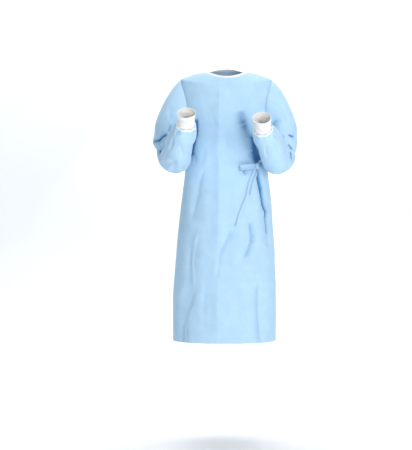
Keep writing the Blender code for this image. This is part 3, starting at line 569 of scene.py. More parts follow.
def end_tips(lines, fine):
    """How far each crease of a table has risen at its two ends; None is an end that fades out by itself."""
    if not fine:
        return [(FOLD_TIP, FOLD_TIP)] * len(lines)
    pairs = [(tuple(line[:2]), tuple(line[2:4])) for line in lines]
    ends = [end for pair in pairs for end in pair]
    return [[CREASE_TIP if ends.count(end) > 1 or end[1] <= BODY[0].side_z else None for end in pair]
            for pair in pairs]


def end_fade(share, length, tip):
    """How far a crease has risen at a share of its length from one end."""
    if tip is None:
        return eased(share / np.minimum(FREE_FADE / length, FREE_SHARE))
    return eased(share / FOLD_FADE + tip)


def crease_height(across, along, ends, line, width, tips):
    """Height that one crease gives to places on the cloth: bowed, steeper on one flank, crisp or round."""
    x0, z0, x1, z1 = ends
    ax, az = x1 - x0, z1 - z0
    share = np.clip(((across - x0) * ax + (along - z0) * az) / (ax * ax + az * az), 0, 1)
    dx, dz = across - x0 - share * ax, along - z0 - share * az
    away = np.hypot(dx, dz) * np.sign(dx * az - dz * ax) - line.bow * np.sin(math.pi * share)
    reach = np.abs(away) / (line.spread * width * (1 + line.lean * np.sign(away)))
    profile = np.exp(0.25 - np.sqrt(reach**2 + 0.0625)) if line.crisp >= 1 else np.exp(-(reach**2))
    length = np.hypot(ax, az)
    fade = end_fade(share, length, tips[0]) * end_fade(1 - share, length, tips[1])
    return line.height * profile * fade


def line_heights(across, along, lines, width=1.0, fine=False):
    """Height of all creases of a table, and the depth of the crisp ones weighted by how crisp they are, which
    sets their painted shade.
    """
    total = np.zeros(np.broadcast(across, along).shape)
    sharp = np.zeros_like(total)
    for line, tips in zip(lines, end_tips(lines, fine)):
        found = crease_height(across, along, line[:4], line, width, tips)
        total += found
        sharp += line.crisp * np.minimum(found, 0)
    return total, sharp


def wave_table(seed, count, shortest, longest):
    """Directions, lengths and starts of the waves that make cloth uneven."""
    chance = np.random.default_rng(seed)
    turn = chance.uniform(0, math.pi, count)
    number = 2 * math.pi / np.exp(chance.uniform(math.log(shortest), math.log(longest), count))
    return np.stack([number * np.cos(turn), number * np.sin(turn), chance.uniform(0, 6.28, count)], axis=1)


SOFT_WAVES = wave_table(7, 14, 0.055, 0.20)
CRISP_WAVES = wave_table(11, 9, 0.050, 0.120)
# Shares of the soft waves and the crisp ridges, and the shift between the front and the back half
SOFT_PART = 0.25
CRISP_PART = 0.35
BACK_SHIFT = 2.0


def unevenness(across, along, shift=0.0):
    """Gentle waves and a few crisp ridges, from about -1 to 1."""
    soft, crisp = (
        sum(np.sin(kx * across + kz * along + start + shift) for kx, kz, start in waves)
        for waves in (SOFT_WAVES, CRISP_WAVES))
    return SOFT_PART * soft + CRISP_PART * (0.6 - np.abs(crisp) / 3)


def body_heights(x, z, ahead):
    """Height of the body's folds and creases, and of the sharp ones weighted for their painted shade; ahead
    is 1 on the front half.
    """
    sizes = bpy.context.scene.gown_sizes
    total, sharp = np.zeros(x.shape), np.zeros(x.shape)
    for half, share, shift in (("front", ahead, 0.0), ("back", 1 - ahead, BACK_SHIFT)):
        folds, _ = line_heights(x, z, BODY_FOLDS[half])
        creases, deep = line_heights(x, z, BODY_CREASES[half], sizes.crease_width, fine=True)
        total += share * (folds + sizes.creasing * creases + sizes.crumple * unevenness(x, z, shift))
        sharp += share * sizes.creasing * deep
    return total, sharp


def powered(value, squareness):
    return np.sign(value) * np.abs(value) ** (2 / squareness)


def body_surface(angle, level, lift=0.0):
    """Points on the outside of the body, moved out by lift, and the depth of the sharp creases there, which
    sets their painted shade.
    """
    angle, level = np.broadcast_arrays(np.asarray(angle, float), np.asarray(level, float))
    row = np.moveaxis(BODY_TABLE.at(level), -1, 0)
    side_z, front_z, back_z, half_width, front_depth, back_depth, squareness, shift = row
    sine, cosine = np.sin(angle), np.cos(angle)
    depth = np.where(sine >= 0, front_depth, back_depth)
    middle_z = np.where(sine >= 0, front_z, back_z)
    across, fore = powered(cosine, squareness), powered(sine, squareness)
    x = half_width * across
    z = side_z + (middle_z - side_z) * sine**2
    out = unit(np.stack([across / half_width, -fore / depth, np.zeros_like(x)], axis=-1))
    height, sharp = body_heights(x, z, eased(sine / SIDE_BLEND / 2 + 0.5))
    points = np.stack([x + shift, -depth * fore, z], axis=-1)
    return points + out * (height + lift)[..., None], sharp


def body_normal(angle, level):
    low, high = np.maximum(level - TINY, 0.0), np.minimum(level + TINY, NECK)
    up = body_surface(angle, high)[0] - body_surface(angle, low)[0]
    round_it = body_surface(angle + TINY, level)[0] - body_surface(angle - TINY, level)[0]
    return unit(np.cross(up, round_it))


def level_of(z):
    return np.interp(z, [s.side_z for s in BODY], LEVELS)


def front_angle(x, z):
    """The ring angle of a place on the front, seen square on."""
    row = BODY_TABLE.at(level_of(z))
    share = np.clip((x - row[..., 7]) / row[..., 3], -0.999, 0.999)
    return np.arccos(np.sign(share) * np.abs(share) ** (row[..., 6] / 2))


def on_body(angle, z, lift):
    level = level_of(z)
    return body_surface(angle, level)[0] + body_normal(angle, level) * np.asarray(lift)[..., None]


def armhole_turn(level):
    """Sine of the turn round the armhole at each level, and 0 outside it."""
    share = np.clip((level - UNDERARM) / (SHOULDER - UNDERARM), 0, 1)
    return np.sin(np.arccos(2 * share - 1))


def shown_levels():
    below = np.linspace(0, UNDERARM, ROWS_BELOW)
    turns = np.linspace(math.pi, 0, ROWS_ARMHOLE + 1)[1:]
    armhole = UNDERARM + (SHOULDER - UNDERARM) * (1 + np.cos(turns)) / 2
    return np.concatenate([below, armhole, np.linspace(SHOULDER, NECK, ROWS_SHOULDER + 1)[1:]])


def new_object(name, mesh):
    made = bpy.data.objects.new(name, mesh)
    bpy.context.scene.collection.objects.link(made)
    return made


def make_active(made):
    bpy.context.view_layer.objects.active = made
    for other in bpy.context.selected_objects:
        other.select_set(False)
    made.select_set(True)


def cloth_mesh(name, grid, uv, trough, round_it, outward):
    """An open quad surface from a grid of points, facing outward, with its UV map and the painted shade at
    each point.
    """
    rows, columns = grid.shape[:2]
    spans = columns if round_it else columns - 1
    index = np.arange(rows * columns).reshape(rows, columns)
    after = np.roll(index, -1, axis=1)
    a, b = index[:-1, :spans], after[:-1, :spans]
    d, c = index[1:, :spans], after[1:, :spans]
    faces = np.stack([a, b, c, d], axis=-1).reshape(-1, 4)
    flat = grid.reshape(-1, 3)
    normals = np.cross(flat[faces[:, 1]] - flat[faces[:, 0]], flat[faces[:, 3]] - flat[faces[:, 0]])
    if (normals * outward.reshape(-1, 3)[faces[:, 0]]).sum() < 0:
        faces = faces[:, ::-1]
    mesh = bpy.data.meshes.new(name)
    mesh.from_pydata(flat.tolist(), [], faces.tolist())
    layer = mesh.uv_layers.new(name="Cloth")
    flat_uv = uv.reshape(-1, 2)[faces.reshape(-1)]
    if round_it:
        flat_uv = joined_uv(flat_uv, float(uv[..., 0].max()))
    layer.data.foreach_set("uv", flat_uv.astype(np.float32).reshape(-1))
    mesh.attributes.new("trough", "FLOAT", "POINT").data.foreach_set(
        "value", trough.reshape(-1).astype(np.float32))
    mesh.shade_smooth()
    return mesh


def joined_uv(corners, widest):
    """UV corners of a tube, where the last column of faces runs on past the end."""
    faces = corners.reshape(-1, 4, 2).copy()
    spans = faces[:, :, 0].max(axis=1) - faces[:, :, 0].min(axis=1)
    wraps = spans > widest / 2
    low = faces[:, :, 0] < widest / 2
    faces[:, :, 0] += np.where(wraps[:, None] & low, widest, 0.0)
    return faces.reshape(-1, 2)


def lengths_along(grid, axis):
    steps = np.linalg.norm(np.diff(grid, axis=axis), axis=-1)
    start = np.zeros_like(np.take(steps, [0], axis=axis))
    return np.cumsum(np.concatenate([start, steps], axis=axis), axis=axis)


def cloth_uv(grid, round_it=False):
    """Metres along the rows and columns, so that a pattern keeps its size."""
    around = lengths_along(grid, 1).mean(axis=0)
    up = lengths_along(grid, 0).mean(axis=1)
    if not round_it:
        around = around - around[-1] / 2
    return np.stack(np.meshgrid(around, up), axis=-1)


def painted_shade_amount(sharp):
    """How much painted shade a sharp crease gets, from its height below the cloth."""
    return DEEPEST_SHADE * np.clip(-sharp / FULL_SHADE_DEPTH, 0, 1) ** SHADE_POWER


def thicken(made, thickness):
    """Gives the surface its thickness inwards, and applies it."""
    solid = made.modifiers.new("Thickness", "SOLIDIFY")
    solid.thickness = thickness
    solid.offset = -1
    solid.use_even_offset = False
    make_active(made)
    bpy.ops.object.modifier_apply(modifier=solid.name)
    return made


def hand_over(made, node):
    """Hangs the piece on the root and hides the CAD part that it stands for."""
    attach(made, "root")
    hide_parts(node)
    return made


def added(tree, kind, inputs=(), **settings):
    """A new node with its settings, and its inputs set to values or linked to other nodes' sockets."""
    node = tree.nodes.new(kind)
    for name, value in settings.items():
        setattr(node, name, value)
    for name, value in dict(inputs).items():
        if isinstance(value, bpy.types.NodeSocket):
            tree.links.new(value, node.inputs[name])
        else:
            node.inputs[name].default_value = value
    return node


def group_with(name, inputs, outputs, kind="ShaderNodeTree"):
    """A node group with its sockets, each given by its name, its kind and maybe its default."""
    tree = bpy.data.node_groups.new(name, kind)
    for direction, sockets in (("INPUT", inputs), ("OUTPUT", outputs)):
        for label, held, *default in sockets:
            socket = tree.interface.new_socket(label, in_out=direction, socket_type=f"NodeSocket{held}")
            if default:
                socket.default_value = default[0]
    return tree, added(tree, "NodeGroupInput").outputs, added(tree, "NodeGroupOutput").inputs


def maths(tree, operation, *values):
    return added(tree, "ShaderNodeMath", enumerate(values), operation=operation).outputs[0]


def vector_maths(tree, operation, *values):
    return added(tree, "ShaderNodeVectorMath", enumerate(values), operation=operation).outputs


def noise(tree, vector, scale, detail, roughness=0.5):
    inputs = {"Scale": scale, "Detail": detail, "Roughness": roughness, "Vector": vector}
    return added(tree, "ShaderNodeTexNoise", inputs).outputs["Fac"]


def ranged(tree, value, low, high, to_low=0.0, to_high=1.0):
    inputs = {"Value": value, "From Min": low, "From Max": high, "To Min": to_low, "To Max": to_high}
    return added(tree, "ShaderNodeMapRange", inputs, interpolation_type="SMOOTHSTEP").outputs["Result"]


def mixed(tree, factor, first, second):
    inputs = {"Factor": factor, "A": first, "B": second}
    return added(tree, "ShaderNodeMix", inputs, data_type="RGBA").outputs["Result"]


def mixed_shader(tree, factor, first, second):
    return added(tree, "ShaderNodeMixShader", enumerate((factor, first, second))).outputs[0]


def nonwoven_group():
    """Laid fibres, the small bond points that hold them, and the cloud of thin and thick places."""
    name = "Nonwoven web"
    if name in bpy.data.node_groups:
        return bpy.data.node_groups[name]
    tree, start, end = group_with(
        name,
        [("Place", "Vector"), ("UV", "Vector"), ("Bond Pitch", "Float", BOND_PITCH)],
        [("Cloud", "Float"), ("Height", "Float"), ("Fibre", "Float")])
    fibre = noise(tree, start["Place"], 1600, 3, 0.7)
    streak = noise(tree, start["Place"], 420, 2)
    cloud = noise(tree, start["Place"], 26, 3, 0.6)
    pitch = added(tree, "ShaderNodeCombineXYZ", {axis: start["Bond Pitch"] for axis in "XYZ"})
    scaled = vector_maths(tree, "DIVIDE", start["UV"], pitch.outputs[0])[0]
    dots = []
    for offset in (0.0, 0.5):
        cell = vector_maths(tree, "FRACTION", vector_maths(tree, "ADD", scaled, (offset, offset, 0))[0])[0]
        centred = vector_maths(tree, "SUBTRACT", cell, (0.5, 0.5, 0))[0]
        dots.append(ranged(tree, vector_maths(tree, "LENGTH", centred)["Value"], 0.12, 0.24, 1.0, 0.0))
    webbing = maths(tree, "ADD", fibre, maths(tree, "MULTIPLY", streak, 0.6))
    dot = maths(tree, "MULTIPLY", maths(tree, "MAXIMUM", *dots), 0.8)
    tree.links.new(ranged(tree, cloud, 0.3, 0.7), end["Cloud"])
    tree.links.new(maths(tree, "SUBTRACT", webbing, dot), end["Height"])
    tree.links.new(webbing, end["Fibre"])
    return tree


def shade_and_mottle_group():
    """The cloth's colour, darkened with painted shade as far as the piece's shade attribute asks, and a
    little uneven all over.
    """
    name = "Fold tint"
    if name in bpy.data.node_groups:
        return bpy.data.node_groups[name]
    tree, start, end = group_with(
        name, [("Colour", "Color"), ("Deep", "Color"), ("Cloud", "Float", 0.5)], [("Colour", "Color")])
    trough = added(tree, "ShaderNodeAttribute", attribute_name="trough")
    # Painted shade: the colour goes toward the shade colour by the amount in the piece's attribute
    tint = mixed(tree, trough.outputs["Fac"], start["Colour"], start["Deep"])
    uneven = maths(tree, "MULTIPLY", start["Cloud"], CLOUD_SHARE)
    tree.links.new(mixed(tree, uneven, tint, start["Deep"]), end["Colour"])
    return tree


def knit_group():
    """Rows of knit loops on the cloth's own UV map."""
    name = "Knit loops"
    if name in bpy.data.node_groups:
        return bpy.data.node_groups[name]
    tree, start, end = group_with(
        name, [("UV", "Vector"), ("Loop", "Float", CUFF_LOOP)], [("Height", "Float")])
    apart = added(tree, "ShaderNodeSeparateXYZ", {0: start["UV"]}).outputs
    turns = maths(tree, "DIVIDE", 6.2832, start["Loop"])
    across = maths(tree, "SINE", maths(tree, "MULTIPLY", apart["X"], turns))
    slant = maths(tree, "MULTIPLY", maths(tree, "ABSOLUTE", across), 0.9)
    along = maths(tree, "ADD", maths(tree, "MULTIPLY", apart["Y"], turns), slant)
    tree.links.new(maths(tree, "ADD", maths(tree, "SINE", along), slant), end["Height"])
    return tree


def material_start(name, roughness, sheen):
    """A new material with its shader; numbers that are the same all over go straight on the shader."""
    made = bpy.data.materials.new(name)
    made.use_nodes = True
    shader = made.node_tree.nodes["Principled BSDF"]
    shader.inputs["Roughness"].default_value = roughness
    shader.inputs["Metallic"].default_value = 0.0
    shader.inputs["Specular IOR Level"].default_value = 0.25
    shader.inputs["Sheen Weight"].default_value = sheen
    shader.inputs["Sheen Roughness"].default_value = 0.5
    return made, made.node_tree, shader


def add_bump(tree, shader, height, strength, distance):
    inputs = {"Strength": strength, "Distance": distance, "Height": height}
    bump = added(tree, "ShaderNodeBump", inputs)
    tree.links.new(bump.outputs["Normal"], shader.inputs["Normal"])


def add_shade_and_mottle(tree, shader, colour, deep, cloud):
    inputs = {"Colour": (*colour, 1), "Deep": (*deep, 1), "Cloud": cloud}
    tint = added(tree, "ShaderNodeGroup", node_tree=shade_and_mottle_group(), inputs=inputs)
    tree.links.new(tint.outputs["Colour"], shader.inputs["Base Color"])


def nonwoven_material(name, colour, deep, roughness=0.78):
    if name in bpy.data.materials:
        return bpy.data.materials[name]
    made, tree, shader = material_start(name, roughness, 0.12)
    place = added(tree, "ShaderNodeTexCoord").outputs
    inputs = {"Place": place["Object"], "UV": place["UV"]}
    web = added(tree, "ShaderNodeGroup", node_tree=nonwoven_group(), inputs=inputs).outputs
    add_shade_and_mottle(tree, shader, colour, deep, web["Cloud"])
    rough = ranged(tree, web["Fibre"], 0.3, 1.3, roughness - 0.06, roughness + 0.08)
    tree.links.new(rough, shader.inputs["Roughness"])
    add_bump(tree, shader, web["Height"], 0.35, 0.00012)
    return made


def white_material(name, colour, loop):
    """White knit or white binding: knit loops of the given size, faint soiling, and painted shade where the
    piece's attribute asks for it.
    """
    if name in bpy.data.materials:
        return bpy.data.materials[name]
    made, tree, shader = material_start(name, 0.88, 0.2)
    place = added(tree, "ShaderNodeTexCoord").outputs
    inputs = {"Loop": loop, "UV": place["UV"]}
    loops = added(tree, "ShaderNodeGroup", node_tree=knit_group(), inputs=inputs)
    add_shade_and_mottle(tree, shader, colour, [0.82 * c for c in colour], noise(tree, place["Object"], 60, 2))
    add_bump(tree, shader, loops.outputs["Height"], 0.5, 0.0002)
    return made


def cloth_material():
    colours = bpy.context.scene.gown_colours
    return nonwoven_material("gown_cloth_shown", colours.cloth, colours.cloth_shade_and_mottle)


def tie_material():
    colours = bpy.context.scene.gown_colours
    return nonwoven_material("tie_cloth_shown", colours.tie, colours.tie_shade_and_mottle, 0.74)


def panel(name, start_of, end_of, lift_of, columns, dipped):
    """One body panel from its edges at each level. dipped says which edges sink into a seam."""
    levels = shown_levels()
    share = np.linspace(0, 1, columns + 1)
    angles = start_of(levels)[:, None] * (1 - share) + end_of(levels)[:, None] * share
    grid, sharp = body_surface(angles, levels[:, None], lift_of(angles, levels[:, None]))
    normal = body_normal(angles, levels[:, None])
    for wanted, edge, inside in zip(dipped, (0, -1), (1, -2)):
        if wanted:
            step = unit(grid[:, inside] - grid[:, edge])
            grid[:, edge] += step * SEAM_GAP / 2 - normal[:, edge] * SEAM_DIP
    # Painted shade in the sharp creases
    mesh = cloth_mesh(name, grid, cloth_uv(grid), painted_shade_amount(sharp), False, normal)
    made = thicken(new_object(name, mesh), bpy.context.scene.gown_sizes.cloth)
    made.data.materials.append(cloth_material())
    return made


def armhole_points(side, turns, reach=1.0, rise=1.0):
    """The armhole's points; the turn runs from the shoulder over the front."""
    angle = np.where(np.sin(turns) > 0, ARMHOLE_FRONT, ARMHOLE_BACK) * reach * np.sin(turns)
    angle = angle if side > 0 else math.pi - angle
    level = UNDERARM + (SHOULDER - UNDERARM) * (1 + np.cos(turns) * rise) / 2
    return body_surface(angle, level)[0], body_normal(angle, level)


def through_four(top, front, under, back, turns):
    """A closed curve through four vectors, a quarter turn apart."""
    top, front, under, back = (np.array(v, float) for v in (top, front, under, back))
    turns = turns[:, None]
    return (
        (top + front + under + back) / 4
        + np.cos(turns) * (top - under) / 2
        + np.sin(turns) * (front - back) / 2
        + np.cos(2 * turns) * (top + under - front - back) / 4
    )


class ArmPath:
    """The middle line of a sleeve and its cuff, with rounded corners, and axes that follow it untwisted."""

    STEP = 0.002
    ARC_STEP = math.radians(4)

    def __init__(self, arm):
        start, elbow, seam, hand = (np.array(p, float) for p in arm[2:])
        line = [start]
        for before, corner, after, radius in (
            (start, elbow, seam, ELBOW_RADIUS),
            (elbow, seam, hand, WRIST_RADIUS),
        ):
            line += self.rounded(before, corner, after, radius)
        line = np.array(line + [hand])
        lengths = np.concatenate([[0], np.cumsum(np.linalg.norm(np.diff(line, axis=0), axis=1))])
        self.distances = np.linspace(0, lengths[-1], int(lengths[-1] / self.STEP) + 1)
        self.points = np.stack([np.interp(self.distances, lengths, line[:, k]) for k in range(3)], axis=1)
        self.tangents = unit(np.gradient(self.points, axis=0))
        found = [unit(np.array([1.0, 0, 0]) - self.tangents[0, 0] * self.tangents[0])]
        for tangent in self.tangents[1:]:
            found.append(unit(found[-1] - (found[-1] @ tangent) * tangent))
        self.outward = np.array(found)
        self.length = self.distances[-1]
        self.seam = self.distances[int(np.argmin(np.linalg.norm(self.points - seam, axis=1)))]

    def rounded(self, before, corner, after, radius):
        """Points of the arc that rounds a corner."""
        into, out = unit(corner - before), unit(after - corner)
        turn = math.acos(float(into @ out))
        start = corner - into * radius * math.tan(turn / 2)
        centre = start + radius * unit(out - (out @ into) * into)
        spoke = start - centre
        steps = max(4, int(turn / self.ARC_STEP))
        return [
            centre + spoke * math.cos(a) + radius * into * math.sin(a)
            for a in np.linspace(0, turn, steps + 1)
        ]

    def rings(self, distances, table, shares, turns):
        """Rings of points round the arm; the turn runs from the outside over the crook."""
        centre, tangent, outward = (
            np.stack([np.interp(distances, self.distances, rows[:, k]) for k in range(3)], axis=1)
            for rows in (self.points, self.tangents, self.outward)
        )
        crook = unit(np.cross(tangent, outward))
        _, out, inward, fore, elbow = (column[:, None] for column in table.at(shares).T)
        wide = np.where(np.cos(turns) > 0, out, inward) * np.cos(turns)
        deep = np.where(np.sin(turns) > 0, fore, elbow) * np.sin(turns)
        return centre[:, None] + outward[:, None] * wide[..., None] + crook[:, None] * deep[..., None]


def grid_normals(grid):
    """Outward normals of a grid whose columns run round."""
    round_it = np.roll(grid, -1, axis=1) - np.roll(grid, 1, axis=1)
    normals = unit(np.cross(round_it, np.gradient(grid, axis=0)))
    outward = grid - grid.mean(axis=1, keepdims=True)
    return normals * np.sign((normals * outward).sum(axis=(1, 2)))[:, None, None]


def tube_mesh(arm, name, grid, trough):
    """A round surface for one arm, from its points for the wearer's left."""
    mirror = np.array([arm.side, 1, 1])
    uv = cloth_uv(grid, round_it=True)
    return cloth_mesh(name, grid * mirror, uv, trough, True, grid_normals(grid) * mirror)


def tube_heights(grid, folds, creases, width=1.0, strength=1.0):
    """Heights of a tube's folds and creases, of the crisp ones weighted for their painted shade, and each
    ring's place and girth.
    """
    middles = grid.mean(axis=1)
    steps = np.linalg.norm(np.diff(middles, axis=0), axis=1)
    places = np.concatenate([[0], np.cumsum(steps)])
    girths = np.linalg.norm(np.diff(grid, axis=1, append=grid[:, :1]), axis=2).sum(axis=1)[:, None]
    around = girths / 360
    turns = np.linspace(0, 360, grid.shape[1], endpoint=False)[None, :]
    total, sharp = np.zeros(grid.shape[:2]), np.zeros(grid.shape[:2])
    for whole in (-360, 0, 360):
        across = (turns + whole) * around
        for lines, fine, narrowed, raised in ((folds, False, 1.0, 1.0), (creases, True, width, strength)):
            for line, tips in zip(lines, end_tips(lines, fine)):
                ends = (line.turn0 * around, line.share0 * places[-1],
                        line.turn1 * around, line.share1 * places[-1])
                found = raised * crease_height(across, places[:, None], ends, line, narrowed, tips)
                total += found
                sharp += line.crisp * np.minimum(found, 0)
    return total, sharp, places, girths


def sleeve_grid(arm, path):
    """Points of a sleeve before its creases, from the armhole to the cuff seam, for the wearer's left."""
    turns = np.linspace(0, 2 * math.pi, AROUND_SLEEVE, endpoint=False)
    mirror = np.array([arm.side, 1, 1])
    shares = np.linspace(0, 1, ROWS_SLEEVE)
    table = SmoothTable([r.share for r in SLEEVE], SLEEVE)
    rings = path.rings(shares * path.seam, table, shares, turns)
    start, normal = armhole_points(arm.side, turns)
    start = (start - normal * SEAM_DIP) * mirror
    leave = through_four(CAP_TOP, CAP_FRONT, CAP_UNDER, CAP_BACK, turns)
    upper = ((1 + np.cos(turns)) / 2)[:, None]
    enter = path.tangents[0] * (CAP_END_UNDER + (CAP_END_TOP - CAP_END_UNDER) * upper)
    t = (np.arange(ROWS_CAP) / ROWS_CAP)[:, None, None]
    cap = (
        start * (1 + 2 * t) * (1 - t) ** 2
        + leave * t * (1 - t) ** 2
        + rings[0] * t * t * (3 - 2 * t)
        + enter * t * t * (t - 1)
    )
    return np.concatenate([cap, rings])


def gather_height(turns):
    """Height of the gathers round a cuff seam: the broad ones of the solid, and fine uneven ones."""
    sizes = bpy.context.scene.gown_sizes
    sway = 0.6 * np.sin(3 * turns + 1.0) + 0.3 * np.sin(5 * turns)
    fine = sizes.gather_depth * np.cos(sizes.gathers * turns + sway)
    return BROAD_GATHER * np.cos(BROAD_GATHERS * turns) + fine


def seam_edge_piece(arm):
    """The pale rolled edge where the gathered sleeve is sewn to its cuff."""
    path = ArmPath(arm)
    turns = np.linspace(0, 2 * math.pi, AROUND_CUFF, endpoint=False)
    across = np.linspace(0, 1, ROWS_SEAM_EDGE)
    distances = path.seam - SEAM_EDGE_WIDTH * (1 - across)
    table = SmoothTable([r.share for r in SLEEVE], SLEEVE)
    grid = path.rings(distances, table, distances / path.seam, turns)
    roll = SEAM_EDGE_RISE * np.sin(math.pi * across) ** 0.6
    broad = BROAD_GATHER * np.cos(BROAD_GATHERS * turns)
    height = broad[None, :] + SEAM_EDGE_OFF + roll[:, None]
    grid = grid + grid_normals(grid) * height[..., None]
    name = f"cuff_{arm.name}_seam_edge"
    mesh = tube_mesh(arm, name, grid, np.zeros(grid.shape[:2]))
    made = thicken(new_object(name, mesh), SEAM_EDGE_THICKNESS)
    pale = bpy.context.scene.gown_colours.seam_edge
    made.data.materials.append(nonwoven_material("seam_edge_shown", pale, [0.8 * c for c in pale]))
    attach(made, "root")


def sleeve_creased(arm, grid):
    """The sleeve with its creases, its gathers at the cuff and its unevenness."""
    sizes = bpy.context.scene.gown_sizes
    lines = SLEEVE_LINES[arm.name]
    height, sharp, places, girths = tube_heights(
        grid, lines[:SOLID_FOLDS], lines[SOLID_FOLDS:], sizes.crease_width, sizes.creasing)
    turns = np.linspace(0, 2 * math.pi, AROUND_SLEEVE, endpoint=False)[None, :]
    near_cuff = eased(1 - (places[-1] - places) / GATHER_REACH)[:, None]
    around = turns * girths / (2 * math.pi)
    height = height + near_cuff * gather_height(turns) + sizes.crumple * unevenness(
        around, places[:, None] * np.ones_like(around), 4.0 + arm.side)
    height = height * eased(places / CAP_SEAM_REACH)[:, None]
    return grid + grid_normals(grid) * height[..., None], sharp


def sleeve_piece(arm):
    path = ArmPath(arm)
    grid, sharp = sleeve_creased(arm, sleeve_grid(arm, path))
    name = f"sleeve_{arm.name}_cloth"
    # Painted shade in the sleeve's sharp creases
    mesh = tube_mesh(arm, name, grid, painted_shade_amount(sharp))
    made = thicken(new_object(name, mesh), bpy.context.scene.gown_sizes.cloth)
    made.data.materials.append(cloth_material())
    return hand_over(made, f"sleeve_{arm.name}")


def rib_tree():
    """Geometry nodes that raise the ribs of a knit cuff along its turn attribute."""
    tree, start, end = group_with(
        "Cuff ribs",
        [("Geometry", "Geometry"), ("Ribs", "Int"), ("Depth", "Float"), ("Knit", "Material")],
        [("Geometry", "Geometry")], "GeometryNodeTree")
    turn = added(tree, "GeometryNodeInputNamedAttribute", data_type="FLOAT", inputs={"Name": "turn"})
    wave = maths(tree, "SINE", maths(tree, "MULTIPLY", turn.outputs["Attribute"], start["Ribs"]))
    normal = added(tree, "GeometryNodeInputNormal").outputs[0]
    inputs = {0: normal, "Scale": maths(tree, "MULTIPLY", wave, start["Depth"])}
    out = added(tree, "ShaderNodeVectorMath", operation="SCALE", inputs=inputs).outputs[0]
    place = added(tree, "GeometryNodeSetPosition", {"Geometry": start["Geometry"], "Offset": out})
    return finished(tree, place, start["Knit"], end)


def stitch_tree():
    """Geometry nodes that lay stitches along a line of edges."""
    tree, start, end = group_with(
        "Row of stitches",
        [("Line", "Geometry"), ("Pitch", "Float"), ("Stitch", "Float"), ("Thread", "Float"),
         ("Finish", "Material")],
        [("Geometry", "Geometry")], "GeometryNodeTree")
    curve = added(tree, "GeometryNodeMeshToCurve", {0: start["Line"]}).outputs[0]
    inputs = {"Curve": curve, "Length": start["Pitch"]}
    spaced = added(tree, "GeometryNodeResampleCurve", mode="LENGTH", inputs=inputs).outputs[0]
    bead = added(tree, "GeometryNodeMeshUVSphere", {"Segments": 6, "Rings": 4, "Radius": 0.5}).outputs["Mesh"]
    inputs = {"X": start["Thread"], "Y": start["Thread"], "Z": start["Stitch"]}
    size = added(tree, "ShaderNodeCombineXYZ", inputs).outputs[0]
    shaped = added(tree, "GeometryNodeTransform", {"Geometry": bead, "Scale": size}).outputs[0]
    tangent = added(tree, "GeometryNodeInputTangent").outputs[0]
    aim = added(tree, "FunctionNodeAlignRotationToVector", axis="Z", inputs={"Vector": tangent}).outputs[0]
    inputs = {"Points": spaced, "Instance": shaped, "Rotation": aim}
    laid = added(tree, "GeometryNodeInstanceOnPoints", inputs)
    return finished(tree, laid, start["Finish"], end, smooth=True)


def finished(tree, last, material, end, smooth=False):
    """The tree, with its last node's shape made real, maybe smooth, given its material and put out."""
    shape = added(tree, "GeometryNodeRealizeInstances", {0: last.outputs[0]}).outputs[0]
    if smooth:
        shape = added(tree, "GeometryNodeSetShadeSmooth", {"Geometry": shape}).outputs[0]
    shown = added(tree, "GeometryNodeSetMaterial", {"Geometry": shape, "Material": material})
    tree.links.new(shown.outputs[0], end[0])
    return tree


def baked_by(made, tree, values):
    """Runs the object through a node tree, and returns the plain mesh as a new object of the same name."""
    modifier = made.modifiers.new("Nodes", "NODES")
    modifier.node_group = tree
    for item in tree.interface.items_tree:
        if item.name in values:
            modifier[item.identifier] = values[item.name]
    made.update_tag()
    graph = bpy.context.evaluated_depsgraph_get()
    mesh = bpy.data.meshes.new_from_object(made.evaluated_get(graph))
    name = made.name
    bpy.data.objects.remove(made)
    if not mesh.polygons:
        raise RuntimeError(f"{name} came out of its node tree empty")
    mesh.name = name
    return new_object(name, mesh)


def cuff_piece(arm, tree):
    sizes = bpy.context.scene.gown_sizes
    path = ArmPath(arm)
    turns = np.linspace(0, 2 * math.pi, AROUND_CUFF, endpoint=False)
    shares = np.linspace(0, 1, ROWS_CUFF)
    table = SmoothTable([r.share for r in CUFF], CUFF)
    grid = path.rings(path.seam + shares * (path.length - path.seam), table, shares, turns)
    height, _, _, _ = tube_heights(grid, (), CUFF_LINES)
    height = height + CUFF_WAVE * np.sin(3 * turns + 9 * shares[:, None])
    grid = grid + grid_normals(grid) * (height * eased(shares / CUFF_FADE)[:, None])[..., None]
    name = f"cuff_{arm.name}_knit"
    # Painted shade in the cuff's troughs
    mesh = tube_mesh(arm, name, grid, painted_shade_amount(height * CUFF_SHADE))
    mesh.attributes.new("turn", "FLOAT", "POINT").data.foreach_set(
        "value", np.tile(turns, ROWS_CUFF).astype(np.float32))
    knit = white_material("cuff_knit_shown", bpy.context.scene.gown_colours.cuff, CUFF_LOOP)
    values = {"Ribs": sizes.ribs, "Depth": sizes.rib_depth, "Knit": knit}
    made = baked_by(new_object(name, mesh), tree, values)
    thicken(made, sizes.knit)
    return hand_over(made, f"cuff_{arm.name}")


def smooth_mesh(name, shape):
    mesh = bpy.data.meshes.new(name)
    shape.to_mesh(mesh)
    shape.free()
    mesh.shade_smooth()
    return mesh


def closed_strip(name, sections):
    """A closed body lofted through closed cross-sections."""
    shape = bmesh.new()
    rings = [[shape.verts.new(p) for p in section] for section in sections]
    count = len(rings[0])
    for before, after in zip(rings, rings[1:]):
        for j in range(count):
            k = (j + 1) % count
            shape.faces.new((before[j], before[k], after[k], after[j]))
    shape.faces.new(rings[0])
    shape.faces.new(rings[-1])
    bmesh.ops.recalc_face_normals(shape, faces=shape.faces)
    return smooth_mesh(name, shape)


